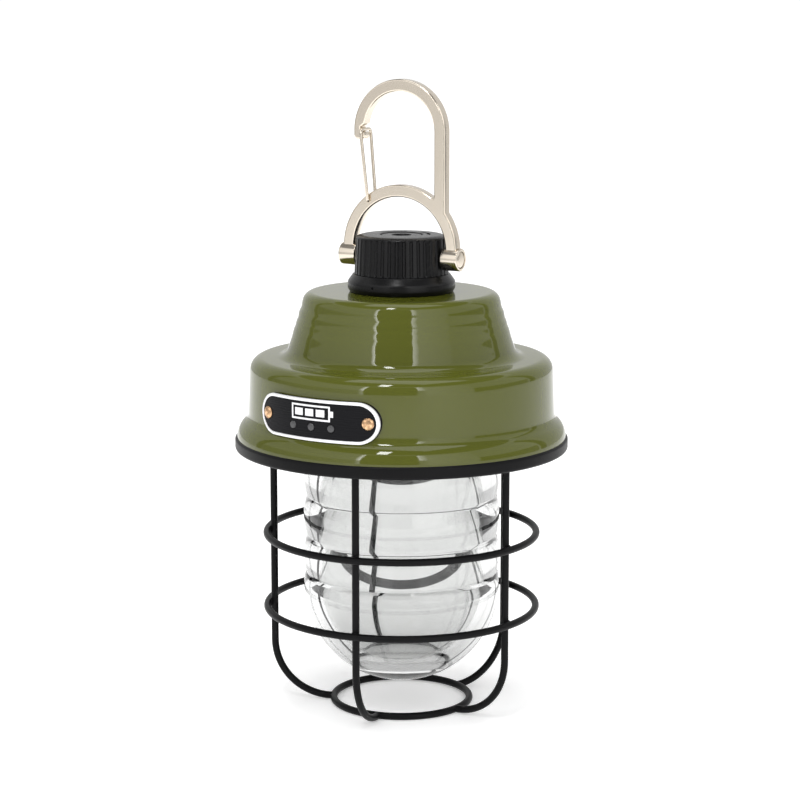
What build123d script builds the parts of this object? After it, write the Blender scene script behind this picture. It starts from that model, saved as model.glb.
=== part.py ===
from build123d import *
import os
from math import degrees, hypot, radians, sin, sqrt

# Rechargeable camping lantern with a carabiner bail, in millimetres.
# Origin: centre of the foot ring on the ground. +Z up. The badge side looks along -Y
# and the bail swings about an axis along X.

# ---- driving dimensions -------------------------------------------------------------
RIM_R = 46.0
RIM_BOTTOM = 72.85
RIM_TOP = 76.3
WEB_BOTTOM = 73.9
WEB_T = 1.2
WEB_TOP = WEB_BOTTOM + WEB_T
WEB_HOLE_R = 28.0
SHEET = 1.0                 # steel of the shell
SHELL_FOOT_R = 45.4
BAND_R = 42.26              # just above the flare
BAND_TOP_R = 41.62
SHOULDER_Z = 98.4
CONE_FOOT_R = 31.86
CONE_TOP_R = 26.43
PLATEAU_Z = 116.3
SHELL_HOLE_R = 5.1

WIRE_R = 1.0                # cage wire
UPRIGHT_R = 35.6
UPRIGHT_BEND = 16.5
HOOP_R = 37.5
HOOP_HEIGHTS = {"hoop_lower": 28.1, "hoop_upper": 49.0}
FOOT_RING_R = 19.1
UPRIGHTS = 5
FIRST_UPRIGHT = 8.5         # degrees from the front towards +X
CAGE_STEP = 360 / UPRIGHTS
SCREW_TURN = FIRST_UPRIGHT + CAGE_STEP / 2
SCREW_R = 37.0              # rim screws, one between each pair of uprights

LENS_R = 27.25
LENS_BORE_R = 22.5
LENS_BAND = 11.2            # height of one moulded band
LENS_GROOVE = 0.75
LENS_DOME_Z = 34.1
LENS_FLANGE_R = 30.5
LENS_FLOOR_Z = 14.0         # flat floor of the inner bowl
LENS_FLANGE_BOTTOM = 75.7
DECK_BOTTOM = 77.0          # underside of the chassis deck
DECK_TOP = 78.4
DECK_R = 40.2
LED_BOARD_R = 21.5
LED_BOARD_BOTTOM = 75.4

SHELL_TURN = -4.7           # the badge stands this far off square to the bail axis
CELL_R = 9.2
CELL_LENGTH = 65.0          # standard 18650 cell
CELL_Z = 87.9
PCB_BOTTOM = 85.0
PCB_TOP = 86.6
PORT_Z = 88.2
PCB_SCREWS = [(-13.0, 16.5), (13.0, 16.5), (-13.0, 30.0), (13.0, 30.0)]
BEZEL_FACE = 43.4
PORT_WINDOW = (12.9, 7.0)   # lets the moulded body of a common plug in
PORT_PLUG = (12.0, 6.4)
BEZEL = (22.0, 12.4)
FLAP = (17.0, 10.2)
HINGE_X = -9.9              # upright hinge of the port cover
HINGE_Y = 44.0

BADGE_Z = 87.05
BADGE_LENGTH = 38.9         # along the curved face
BADGE_HEIGHT = 11.15
BADGE_FACE_R = 43.4
BADGE_BORDER = 0.8
BADGE_PIN_TURN = 21.65
DOT_TURN = 8.0
DOT_Z = 85.2

COLLAR_TOP = 121.2
COLLAR_R = 14.75
MARK_TURN = -3.5            # small index dimple on the collar
CAP_TOP = 131.9
CAP_FOOT_R = 12.9
CAP_TOP_R = 12.4
CAP_BORE_R = 9.8
CAP_CEILING = 128.6
FLUTES = 40
CAP_SCREW_R = 11.2
CAP_SCREW_TURN = 60
FLUTE_R = 0.5
BUTTON_R = 5.6
BUTTON_HOLE_R = 5.85
BUTTON_TRAVEL = 0.6
BUTTON_STEM_LOW = 126.2
SWITCH_LOW = COLLAR_TOP + 1.0

PIVOT_Z = 125.8
PIVOT_R = 1.25
PIVOT_BORE_R = 1.30
PIVOT_HEAD_R = 2.2
BOSS_R = 3.1
BOSS_IN = 13.2
BOSS_OUT = 18.3
BAIL_T = 3.3                # thickness along Y
BAIL_W = 3.3                # width of the bar in its own plane
BAIL_EDGE = 0.5             # rounding of its long edges
ARCH_Z = 128.0
ARCH_OUT_R = 17.45
HOOK_Z = 159.93
HOOK_OUT_R = 14.0
NOSE_BOTTOM = 157.4

GATE_WIRE_R = 0.45
GATE_PIVOT = (-9.3, 140.75)
GATE_BAR = (-11.2, 160.1)
GATE_FOOT_Y = 2.25
GATE_TOP_Y = 2.8
GATE_HOLE_R = 0.5

RUN = 0.05                  # radial clearance of the small running fits


# ---- helpers ------------------------------------------------------------------------
def outline(corners):
    """Closed flat face from corners (across, up, rounding radius)."""
    face = make_face(Polyline(*[(x, y) for x, y, _ in corners], close=True))
    for x, y, rounding in corners:
        if rounding:
            corner = face.vertices().sort_by_distance((x, y, 0))[0]
            face = fillet(corner, rounding)
    return face


def lathe(corners):
    """Solid of revolution about Z from corners (radius, height, rounding radius)."""
    return revolve(Plane.XZ * outline(corners), Axis.Z)


def disc(radius, low, high, bore=0.0):
    """Cylinder on Z between two heights, with an optional bore."""
    ring = Circle(radius) if not bore else Circle(radius) - Circle(bore)
    return Pos(0, 0, low) * extrude(ring, high - low)


def block(x, y, z):
    """Box between the low and high value along each axis."""
    size = [high - low for low, high in (x, y, z)]
    middle = [(high + low) / 2 for low, high in (x, y, z)]
    return Pos(*middle) * Box(*size)


def radial(radius, inner, outer, turn, height):
    """Rod pointing outwards at an angle from the front (-Y) towards +X."""
    rod = Rot(90, 0, 0) * (Pos(0, 0, inner) * extrude(Circle(radius), outer - inner))
    return Pos(0, 0, height) * (Rot(0, 0, turn) * rod)


def rod_y(radius, low, high, x, z):
    """Rod along Y."""
    return Pos(x, low, z) * (Rot(-90, 0, 0) * extrude(Circle(radius), high - low))


def rod_x(radius, low, high, z):
    """Rod along X at a height."""
    return Pos(low, 0, z) * (Rot(0, 90, 0) * extrude(Circle(radius), high - low))


def wire(points, radii, radius):
    """Round wire along straight runs joined by arcs."""
    path = FilletPolyline(*points, radius=radii)
    start = Plane(origin=path @ 0, z_dir=path % 0)
    return sweep(start * Circle(radius), path=path)


def at_angle(shape, turn):
    """A shape built facing -Y, turned about Z."""
    return Rot(0, 0, turn) * shape


def polar(shape, count, first):
    """Copies of a shape at equal angles about Z."""
    step = 360 / count
    return [at_angle(shape, first + step * i) for i in range(count)]


def group(shapes):
    """Several separate solids in one node."""
    return Compound([solid for shape in shapes for solid in shape.solids()])


# ---- shell --------------------------------------------------------------------------
def inset_corners(corners, depth):
    """The same line of corners moved sideways by the sheet thickness."""
    moved = []
    for i, (x, z, rounding) in enumerate(corners):
        before = corners[max(i - 1, 0)]
        after = corners[min(i + 1, len(corners) - 1)]
        legs = []
        for (ax, az, _), (bx, bz, _) in ((before, (x, z, 0)), ((x, z, 0), after)):
            length = hypot(bx - ax, bz - az)
            if length:
                legs.append(((bx - ax) / length, (bz - az) / length))
        (ux, uz), (vx, vz) = legs[0], legs[-1]
        turn = ux * vz - uz * vx
        reach = depth / (1 + ux * vx + uz * vz)
        shifted = (x - (uz + vz) * reach, z + (ux + vx) * reach)
        inner = rounding - depth if turn > 0 else rounding + depth
        moved.append((*shifted, inner if rounding else 0))
    return moved


def shell_corners():
    """Outer line of the shell from its foot to its top hole."""
    return [
        (SHELL_FOOT_R, RIM_TOP, 0),
        (SHELL_FOOT_R, 79.2, 5.6),
        (BAND_R, 81.84, 2.6),
        (BAND_TOP_R, SHOULDER_Z, 3.6),
        (CONE_FOOT_R, SHOULDER_Z + 0.25, 3.4),
        (CONE_TOP_R, PLATEAU_Z - 0.1, 2.8),
        (SHELL_HOLE_R, PLATEAU_Z, 0),
    ]


def shell_outside():
    """Solid inside the shell's outer surface."""
    line = shell_corners()
    return lathe(line + [(0, PLATEAU_Z, 0), (0, RIM_TOP, 0)])


def shell_inside():
    """Solid that fills the shell's hollow."""
    line = inset_corners(shell_corners(), SHEET)
    foot, top = line[0], line[-1]
    line[0] = (foot[0], RIM_TOP - 1, 0)
    line[-1] = (0, top[1], 0)
    return lathe(line + [(0, RIM_TOP - 1, 0)])


def shell():
    """Stepped housing of enamelled steel sheet with its holes."""
    body = shell_outside() - shell_inside()
    body -= disc(SHELL_HOLE_R, PLATEAU_Z - 3, PLATEAU_Z + 1)
    for turn in (-DOT_TURN, 0, DOT_TURN):
        body -= radial(1.2, 38, 46, SHELL_TURN + turn, DOT_Z)
    for turn in (-BADGE_PIN_TURN, BADGE_PIN_TURN):
        body -= radial(0.9, 38, 46, SHELL_TURN + turn, BADGE_Z)
    port = Pos(0, 0, PORT_Z) * (Rot(-90, 0, 0) * extrude(SlotOverall(14.3, 8.4), 50))
    return body - at_angle(port, SHELL_TURN)


def shell_brackets():
    """Angle brackets spot-welded inside the shell, one above each rim screw."""
    foot = block((-3.5, 3.5), (-42, -35.6), (DECK_TOP, DECK_TOP + SHEET))
    tab = block((-3.5, 3.5), (-42.5, -39.6), (DECK_TOP, DECK_TOP + 7))
    hole = Pos(0, -SCREW_R, 0) * disc(1.0, DECK_TOP - 1, DECK_TOP + 3)
    bracket = (foot + tab) & shell_inside()
    return group(polar(bracket - hole, UPRIGHTS, SCREW_TURN))


# ---- cage ---------------------------------------------------------------------------
def rim_ring():
    """Rim: a rolled lip with a flat web that carries the cage and the lens."""
    lip_in = RIM_R - 2.2
    ring = lathe([
        (RIM_R, RIM_BOTTOM, 0.9),
        (RIM_R, RIM_TOP, 0.7),
        (lip_in, RIM_TOP, 0.2),
        (lip_in, WEB_TOP, 0.2),
        (WEB_HOLE_R, WEB_TOP, 0.3),
        (WEB_HOLE_R, WEB_BOTTOM, 0.3),
        (lip_in, WEB_BOTTOM, 0.2),
        (lip_in, RIM_BOTTOM, 0.2),
    ])
    hole = Pos(0, -SCREW_R, 0) * disc(1.25, WEB_BOTTOM - 1, WEB_TOP + 1)
    for cut in polar(hole, UPRIGHTS, SCREW_TURN):
        ring -= cut
    return ring


def hoop(radius, height):
    """Closed ring of cage wire."""
    return Pos(0, 0, height) * Torus(radius, WIRE_R)


def upright():
    """Cage wire straight down from the rim, then bent in to the foot ring, facing -Y."""
    corner = (0, -UPRIGHT_R, WIRE_R)
    points = [(0, -UPRIGHT_R, WEB_BOTTOM), corner, (0, -FOOT_RING_R, WIRE_R)]
    bar = wire(points, [UPRIGHT_BEND - 0.01], WIRE_R)
    bar -= hoop(FOOT_RING_R, WIRE_R)
    for height in HOOP_HEIGHTS.values():
        bar -= hoop(HOOP_R, height)
    return bar.solids().sort_by(SortBy.VOLUME)[-1]


def rim_screws():
    """Pan-head screws from under the web into the brackets."""
    screw = disc(2.1, WEB_BOTTOM - 1.0, WEB_BOTTOM) + disc(1.0, WEB_BOTTOM, DECK_TOP + SHEET)
    screw -= disc(0.55, WEB_BOTTOM - 1.1, WEB_BOTTOM - 0.5)
    return group(polar(Pos(0, -SCREW_R, 0) * screw, UPRIGHTS, SCREW_TURN))


# ---- lens and light -----------------------------------------------------------------
def lens():
    """Clear thick-walled dome with moulded bands and a clamping flange."""
    dome = Pos(0, 0, LENS_DOME_Z) * Sphere(LENS_R)
    body = dome + disc(LENS_R, LENS_DOME_Z, LENS_FLANGE_BOTTOM)
    body += disc(LENS_FLANGE_R, LENS_FLANGE_BOTTOM, DECK_BOTTOM)
    for i in range(4):
        groove = Torus(LENS_R + 0.35, LENS_GROOVE)
        body -= Pos(0, 0, LENS_DOME_Z + 3.0 + LENS_BAND * i) * groove
    body -= disc(LENS_BORE_R, LENS_DOME_Z, DECK_BOTTOM)
    bowl = Pos(0, 0, LENS_DOME_Z) * Sphere(LENS_BORE_R)
    bowl &= disc(LENS_BORE_R + 1, LENS_FLOOR_Z, LENS_DOME_Z)
    return body - bowl


def lens_gasket():
    """Silicone ring between the web and the lens flange."""
    return disc(LENS_FLANGE_R, WEB_TOP, LENS_FLANGE_BOTTOM, bore=28.2)


def led_board():
    """Aluminium circuit board that carries the light sources."""
    board = disc(LED_BOARD_R, LED_BOARD_BOTTOM, DECK_BOTTOM)
    hole = Pos(0, 18, 0) * disc(1.9, LED_BOARD_BOTTOM - 1, DECK_BOTTOM + 1)
    return board - at_angle(hole, SHELL_TURN)


def led_chips():
    """Surface-mounted light sources facing down into the lens."""
    chip = block((-1.4, 1.4), (-11.5, -8.0), (LED_BOARD_BOTTOM - 0.8, LED_BOARD_BOTTOM))
    return group(polar(chip, 8, 0))


def reflector():
    """White dish around the light sources."""
    return lathe([
        (16.2, LED_BOARD_BOTTOM, 0),
        (22.1, LED_BOARD_BOTTOM, 0),
        (22.1, 70.2, 0.2),
        (21.5, 70.2, 0.2),
        (14.2, 74.7, 0.2),
    ])


# ---- chassis, battery and electronics -----------------------------------------------
def chassis():
    """Moulded deck that closes the shell and holds lens, boards and cradle."""
    body = disc(DECK_R, DECK_BOTTOM, DECK_TOP)
    body += disc(33.0, WEB_TOP, DECK_BOTTOM, bore=31.0)
    for boss in polar(Pos(0, -SCREW_R, 0) * disc(2.7, WEB_TOP, DECK_BOTTOM), UPRIGHTS, SCREW_TURN):
        body += boss
    for x, y in PCB_SCREWS:
        post = Pos(x, y, 0) * disc(2.0, DECK_TOP, PCB_BOTTOM)
        body += at_angle(post, SHELL_TURN)
        pilot = Pos(x, y, 0) * disc(0.8, PCB_BOTTOM - 4, PCB_BOTTOM + 1)
        body -= at_angle(pilot, SHELL_TURN)
    for hole in polar(Pos(0, -SCREW_R, 0) * disc(1.05, WEB_TOP - 1, DECK_TOP + 1), UPRIGHTS, SCREW_TURN):
        body -= hole
    lead_hole = Pos(0, 18, 0) * disc(2.5, DECK_BOTTOM - 1, DECK_TOP + 1)
    return body - at_angle(lead_hole, SHELL_TURN)


def battery_cradle():
    """Open saddle across the deck with an end wall at each pole."""
    body = block((-35, 35), (-10.6, 10.6), (DECK_TOP, 86.0))
    for side in (-1, 1):
        wall = sorted((side * 33.4, side * 35.0))
        body += block(wall, (-9.0, 9.0), (DECK_TOP, 92.0))
    body -= rod_x(CELL_R + 0.15, -33.4, 33.4, CELL_Z)
    return body - block((-30, 30), (-4.5, 4.5), (DECK_TOP - 1, 84))


def battery_cell():
    """Standard cylindrical cell with its raised positive pole."""
    half = CELL_LENGTH / 2
    body = rod_x(CELL_R, -half, half - 1.5, CELL_Z)
    body = fillet(body.edges().filter_by(GeomType.CIRCLE), 0.6)
    return body + rod_x(3.0, half - 1.5, half, CELL_Z)


def battery_contacts():
    """Sprung end plates with a pressed bump and a solder tab."""
    plates = []
    for side in (-1, 1):
        plate = block(sorted((side * 32.9, side * 33.4)), (-4.5, 4.5), (84, 92))
        plate += block(sorted((side * 32.9, side * 33.4)), (4.5, 12.0), (87.5, 89.5))
        bump = sorted((side * CELL_LENGTH / 2, side * 32.9))
        plates.append(plate + rod_x(2.2, *bump, CELL_Z))
    return group(plates)


def main_pcb():
    """Charging and driver board on its four posts."""
    board = block((-16, 16), (13.5, 37.5), (PCB_BOTTOM, PCB_TOP))
    for x, y in PCB_SCREWS:
        board -= Pos(x, y, 0) * disc(0.9, PCB_BOTTOM - 1, PCB_TOP + 1)
    return board


def pcb_components():
    """The larger parts soldered to the driver board."""
    chip = block((-9.5, -4.5), (21, 26), (PCB_TOP, PCB_TOP + 0.9))
    coil = block((3.5, 9.5), (20.5, 26.5), (PCB_TOP, PCB_TOP + 3.0))
    capacitor = Pos(-7.5, 30.5, 0) * disc(1.9, PCB_TOP, PCB_TOP + 3.5)
    diode = block((6.5, 9.5), (29, 31), (PCB_TOP, PCB_TOP + 1.2))
    return group([chip, fillet(coil.edges().filter_by(Axis.Z), 0.8), capacitor, diode])


def pcb_screws():
    """Small screws that hold the driver board down."""
    screw = disc(1.7, PCB_TOP, PCB_TOP + 1.2) + disc(0.8, PCB_TOP - 5, PCB_TOP)
    return group([Pos(x, y, 0) * screw for x, y in PCB_SCREWS])


def usb_port():
    """Charging socket: drawn steel shell with its tongue."""
    middle = PCB_TOP + 1.6
    outer = Pos(0, 32.9, middle) * (Rot(-90, 0, 0) * extrude(SlotOverall(8.94, 3.2), 7.35))
    cavity = Pos(0, 34.0, middle) * (Rot(-90, 0, 0) * extrude(SlotOverall(8.34, 2.56), 10))
    tongue = block((-3.35, 3.35), (33.9, 39.3), (middle - 0.35, middle + 0.35))
    return outer - cavity + tongue


def port_bezel():
    """Plastic frame around the charging opening, with two hinge lugs."""
    plate = Pos(0, 38, PORT_Z) * (Rot(-90, 0, 0) * extrude(SlotOverall(*BEZEL), BEZEL_FACE - 38))
    plate -= at_angle(shell_outside(), -SHELL_TURN)
    neck = Pos(0, 40.9, PORT_Z) * (Rot(-90, 0, 0) * extrude(SlotOverall(14.2, 8.3), 2.4))
    plate += neck
    plate -= Pos(0, 30, PORT_Z) * (Rot(-90, 0, 0) * extrude(SlotOverall(*PORT_WINDOW), 20))
    lug = Pos(HINGE_X, HINGE_Y, PORT_Z) * disc(0.95, -4.1, 4.1)
    lug += block((HINGE_X - 0.95, HINGE_X + 0.95), (BEZEL_FACE - 0.8, HINGE_Y), (PORT_Z - 4.1, PORT_Z + 4.1))
    plate += lug
    plate -= Pos(HINGE_X, HINGE_Y, PORT_Z) * disc(1.3, -2.3, 2.3)
    return plate - Pos(HINGE_X, HINGE_Y, PORT_Z) * disc(0.5, -6, 6)


def port_cover():
    """Hinged flap whose plug closes the charging opening."""
    low = BEZEL_FACE + 0.05
    flap = Pos(0.3, low, PORT_Z) * (Rot(-90, 0, 0) * extrude(SlotOverall(*FLAP), 1.2))
    flap = fillet(flap.edges().filter_by(Plane.XZ).group_by(Axis.Y)[-1], 0.5)
    plug = Pos(0, 41.3, PORT_Z) * (Rot(-90, 0, 0) * extrude(SlotOverall(*PORT_PLUG), low - 41.3))
    web = block((HINGE_X, -5.0), (low, low + 1.1), (PORT_Z - 2.0, PORT_Z + 2.0))
    knuckle = Pos(HINGE_X, HINGE_Y, PORT_Z) * disc(0.95, -2.0, 2.0)
    pull = block((8.2, 10.2), (low + 0.1, low + 0.9), (PORT_Z - 1.6, PORT_Z + 1.6))
    cover = flap + plug + web + knuckle + pull
    return cover - Pos(HINGE_X, HINGE_Y, PORT_Z) * disc(0.5 + RUN, -3, 3)


def cover_hinge_pin():
    """Steel pin through the lugs and the knuckle."""
    return Pos(HINGE_X, HINGE_Y, PORT_Z) * disc(0.5, -4.1, 4.1)


def indicator_board():
    """Upright board behind the badge with the charge lights."""
    return block((-11, 11), (-38.4, -37.2), (DECK_TOP, 92))


def indicator_lenses():
    """Light pipes through shell and badge."""
    rods = []
    for turn in (-DOT_TURN, 0, DOT_TURN):
        rod = radial(1.0, 36, BADGE_FACE_R + 0.15, turn, DOT_Z)
        rods.append(rod & block((-20, 20), (-50, -38.4), (80, 95)))
    return group(rods)


def badge_outline(inset, back, front):
    """Badge outline at an inset from its edge, between two radii of the band."""
    half = BADGE_FACE_R * sin(BADGE_LENGTH / 2 / BADGE_FACE_R)
    slot = SlotOverall(2 * (half - inset), BADGE_HEIGHT - 2 * inset)
    solid = Pos(0, 0, BADGE_Z) * (Rot(90, 0, 0) * extrude(slot, 60))
    return solid & disc(front, BADGE_Z - 8, BADGE_Z + 8, bore=back)


def badge_plate():
    """Curved plate with a raised border, riveted to the band."""
    plate = badge_outline(0, 38, BADGE_FACE_R)
    plate -= badge_outline(BADGE_BORDER, BADGE_FACE_R - 0.2, BADGE_FACE_R + 1)
    plate -= shell_outside()
    for turn in (-DOT_TURN, 0, DOT_TURN):
        plate -= radial(1.15, 38, 46, turn, DOT_Z)
    for turn in (-BADGE_PIN_TURN, BADGE_PIN_TURN):
        plate -= radial(0.9, 38, 46, turn, BADGE_Z)
    return plate


def badge_pins():
    """Domed drive pins that hold the badge."""
    pins = []
    for turn in (-BADGE_PIN_TURN, BADGE_PIN_TURN):
        seat = BADGE_FACE_R - 0.2
        dome = radial(1.7, seat, seat + 0.75, turn, BADGE_Z)
        dome = fillet(dome.edges().sort_by_distance((0, 0, BADGE_Z))[-1], 0.55)
        pins.append(dome + radial(0.9, 39.8, seat, turn, BADGE_Z))
    return group(pins)


# ---- collar, cap and switch ---------------------------------------------------------
def collar():
    """Moulded flange under the cap, bored for the stud."""
    body = lathe([
        (SHELL_HOLE_R, PLATEAU_Z, 0),
        (14.1, PLATEAU_Z, 0.3),
        (COLLAR_R, PLATEAU_Z + 1.1, 1.2),
        (COLLAR_R, PLATEAU_Z + 2.9, 1.6),
        (13.3, COLLAR_TOP, 0.4),
        (7.6, COLLAR_TOP, 0),
        (7.6, COLLAR_TOP - 1.5, 0),
        (SHELL_HOLE_R, COLLAR_TOP - 1.5, 0),
    ])
    for cut in polar(Pos(0, -CAP_SCREW_R, 0) * disc(1.65, PLATEAU_Z - 1, PLATEAU_Z + 1.2), 3, CAP_SCREW_TURN):
        body -= cut
    for cut in polar(Pos(0, -CAP_SCREW_R, 0) * disc(0.85, PLATEAU_Z, COLLAR_TOP + 1), 3, CAP_SCREW_TURN):
        body -= cut
    mark = radial(0.35, COLLAR_R - 0.5, COLLAR_R + 1, MARK_TURN, PLATEAU_Z + 2.2)
    return body - mark


def mounting_stud():
    """Hollow flanged stud that clamps collar and shell together."""
    body = disc(7.5, COLLAR_TOP - 1.5, COLLAR_TOP) + disc(5.0, 108.0, COLLAR_TOP)
    return body - disc(3.2, 107, COLLAR_TOP + 1)


def stud_nut():
    """Hexagon nut inside the shell."""
    top = PLATEAU_Z - 1.2
    nut = Pos(0, 0, top - 3.2) * extrude(RegularPolygon(8.1, 6) - Circle(5.0), 3.2)
    return nut & lathe([(0, top - 4, 0), (7.2, top - 4, 0), (8.4, top - 2.4, 0), (8.4, top, 0), (0, top, 0)])


def fluted_cap():
    """Black cap: fluted side, hollow for the switch, hole for the button."""
    body = lathe([
        (CAP_BORE_R, COLLAR_TOP, 0),
        (CAP_FOOT_R, COLLAR_TOP, 0.15),
        (CAP_TOP_R, CAP_TOP - 0.3, 0.9),
        (CAP_TOP_R - 1.5, CAP_TOP, 0.6),
        (BUTTON_HOLE_R, CAP_TOP, 0.2),
        (BUTTON_HOLE_R, CAP_CEILING, 0),
        (CAP_BORE_R, CAP_CEILING, 0),
    ])
    lean = (CAP_FOOT_R - CAP_TOP_R) / (CAP_TOP - COLLAR_TOP)
    slope = Rot(-degrees(lean), 0, 0)
    rod = extrude(Circle(FLUTE_R), 9.2)
    groove = Pos(0, -(CAP_FOOT_R + 0.12), COLLAR_TOP + 0.4) * (slope * rod)
    flutes = polar(groove, FLUTES, 180 / FLUTES)
    body = body - flutes
    for side in (-1, 1):
        body -= rod_x(PIVOT_R, *sorted((side * (CAP_BORE_R - 1), side * 14)), PIVOT_Z)
    for cut in polar(Pos(0, -CAP_SCREW_R, 0) * disc(0.8, COLLAR_TOP - 1, COLLAR_TOP + 4.2), 3, CAP_SCREW_TURN):
        body -= cut
    return body


def cap_screws():
    """Screws from under the collar into the cap wall."""
    screw = disc(1.6, PLATEAU_Z, PLATEAU_Z + 1.2) + disc(0.8, PLATEAU_Z + 1.2, COLLAR_TOP + 4)
    return group(polar(Pos(0, -CAP_SCREW_R, 0) * screw, 3, CAP_SCREW_TURN))


def switch_board():
    """Small round board under the button."""
    return disc(9.5, COLLAR_TOP, COLLAR_TOP + 1.0)


def tact_switch():
    """Body of the push switch, bored for its plunger."""
    body = block((-3, 3), (-3, 3), (SWITCH_LOW, SWITCH_LOW + 2.7))
    return body - disc(1.6 + RUN, SWITCH_LOW + 1.0, SWITCH_LOW + 3)


def switch_plunger():
    """Moving stem of the push switch, under the button."""
    return disc(1.6, SWITCH_LOW + 1.0 + BUTTON_TRAVEL + 0.1, BUTTON_STEM_LOW)


def power_button():
    """Round push button with a dished middle and a retaining skirt."""
    body = lathe([
        (0, CAP_CEILING - 1.3, 0),
        (7.2, CAP_CEILING - 1.3, 0.1),
        (7.2, CAP_CEILING - 0.1, 0.1),
        (BUTTON_R, CAP_CEILING - 0.1, 0),
        (BUTTON_R, CAP_TOP - 0.15, 0.3),
        (2.8, CAP_TOP - 0.15, 0.1),
        (2.5, CAP_TOP - 0.9, 0.2),
        (0, CAP_TOP - 0.9, 0),
    ])
    return body + disc(1.6, BUTTON_STEM_LOW, CAP_CEILING - 1.3)


# ---- bail ---------------------------------------------------------------------------
def half_ring(outer, width, height):
    """Upper half of a flat ring centred on the bail's middle line."""
    ring = Circle(outer) - Circle(outer - width)
    return Pos(0, height) * (ring & (Pos(0, outer) * Rectangle(4 * outer, 2 * outer)))


def bar(x_low, x_high, z_low, z_high):
    """Flat rectangle of the bail outline."""
    middle = ((x_low + x_high) / 2, (z_low + z_high) / 2)
    return Pos(*middle) * Rectangle(x_high - x_low, z_high - z_low)


def bail_outline():
    """Arch over the cap with the hook, its spine and its notched nose."""
    spine_foot = ARCH_Z + sqrt(ARCH_OUT_R ** 2 - HOOK_OUT_R ** 2)
    spine_in = HOOK_OUT_R - BAIL_W
    flat = half_ring(ARCH_OUT_R, BAIL_W, ARCH_Z)
    flat += half_ring(HOOK_OUT_R, BAIL_W, HOOK_Z)
    flat += bar(spine_in, HOOK_OUT_R, spine_foot, HOOK_Z)
    flat += bar(-HOOK_OUT_R, -spine_in, NOSE_BOTTOM, HOOK_Z)
    for side in (-1, 1):
        legs = sorted((side * (ARCH_OUT_R - BAIL_W), side * ARCH_OUT_R))
        flat += bar(*legs, PIVOT_Z, ARCH_Z)
    for x in (-HOOK_OUT_R, -spine_in):
        corner = flat.vertices().sort_by_distance((x, NOSE_BOTTOM, 0))[0]
        flat = fillet(corner, 1.2)
    join = (spine_in, ARCH_Z + sqrt(ARCH_OUT_R ** 2 - spine_in ** 2))
    flat = fillet(flat.vertices().sort_by_distance((*join, 0))[0], 0.8)
    x, z = GATE_BAR
    notch = Polyline((x - 0.65, z - 0.6), (x - 0.65, z + 0.6), (-spine_in + 1, z + 2.3), (-spine_in + 1, z - 0.75), close=True)
    return flat - make_face(notch)


def bail():
    """Die-cast bail: arch, hook and the two pivot bosses."""
    thick = extrude(Plane.XZ.offset(BAIL_T / 2) * bail_outline(), -BAIL_T)
    faces = thick.faces().filter_by(Axis.Y)
    edges = [edge for face in (faces[0], faces[-1]) for edge in face.edges()]
    thick = fillet(edges, BAIL_EDGE)
    for side in (-1, 1):
        ends = sorted((side * BOSS_IN, side * BOSS_OUT))
        boss = rod_x(BOSS_R, *ends, PIVOT_Z)
        boss = fillet(boss.edges().filter_by(GeomType.CIRCLE), 0.3)
        thick = thick + boss
    for side in (-1, 1):
        thick -= rod_x(PIVOT_BORE_R, *sorted((side * 12, side * 20)), PIVOT_Z)
        thick -= rod_x(PIVOT_HEAD_R + 0.1, *sorted((side * (BOSS_OUT - 1.4), side * 20)), PIVOT_Z)
    x, z = GATE_PIVOT
    return thick - rod_y(GATE_HOLE_R, -4, 4, x, z)


def pivot_pins():
    """Shoulder screws through the bosses into the cap wall."""
    pins = []
    for side in (-1, 1):
        shank = rod_x(PIVOT_R, *sorted((side * CAP_BORE_R, side * (BOSS_OUT - 1.3))), PIVOT_Z)
        head = rod_x(PIVOT_HEAD_R, *sorted((side * (BOSS_OUT - 1.3), side * BOSS_OUT)), PIVOT_Z)
        pins.append(shank + head)
    return group(pins)


def gate_wire():
    """Sprung wire loop: two feet in the arch, crossbar in the nose's notch."""
    (foot_x, foot_z), (top_x, top_z) = GATE_PIVOT, GATE_BAR
    points = [
        (foot_x, -0.6, foot_z),
        (foot_x, -GATE_FOOT_Y, foot_z),
        (top_x, -GATE_TOP_Y, top_z),
        (top_x, GATE_TOP_Y, top_z),
        (foot_x, GATE_FOOT_Y, foot_z),
        (foot_x, 0.6, foot_z),
    ]
    return wire(points, [0.55, 1.1, 1.1, 0.55], GATE_WIRE_R)


# ---- leads --------------------------------------------------------------------------
def switch_leads():
    """Two insulated leads from the switch board down to the driver board."""
    leads = []
    for x in (-1.2, 1.2):
        points = [(x, 0, COLLAR_TOP), (x, 0, 104), (x, 19, 98.5), (x, 19, PCB_TOP)]
        leads.append(wire(points, [5, 4], 0.5))
    return group(leads)


def led_leads():
    """Two leads from the light board up to the driver board."""
    return group([Pos(x, 18, 0) * disc(0.5, DECK_BOTTOM - 1.6, PCB_BOTTOM) for x in (-1.2, 1.2)])


def battery_leads():
    """Leads from the battery contacts to the driver board."""
    leads = []
    for side in (-1, 1):
        x = side * 33.15
        points = [(x, 12, 88.5), (x, 17, 88.5), (side * 14.5, 22, 90.0), (side * 14.5, 22, PCB_TOP)]
        leads.append(wire(points, [2.5, 1.5], 0.5))
    return group(leads)


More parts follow.
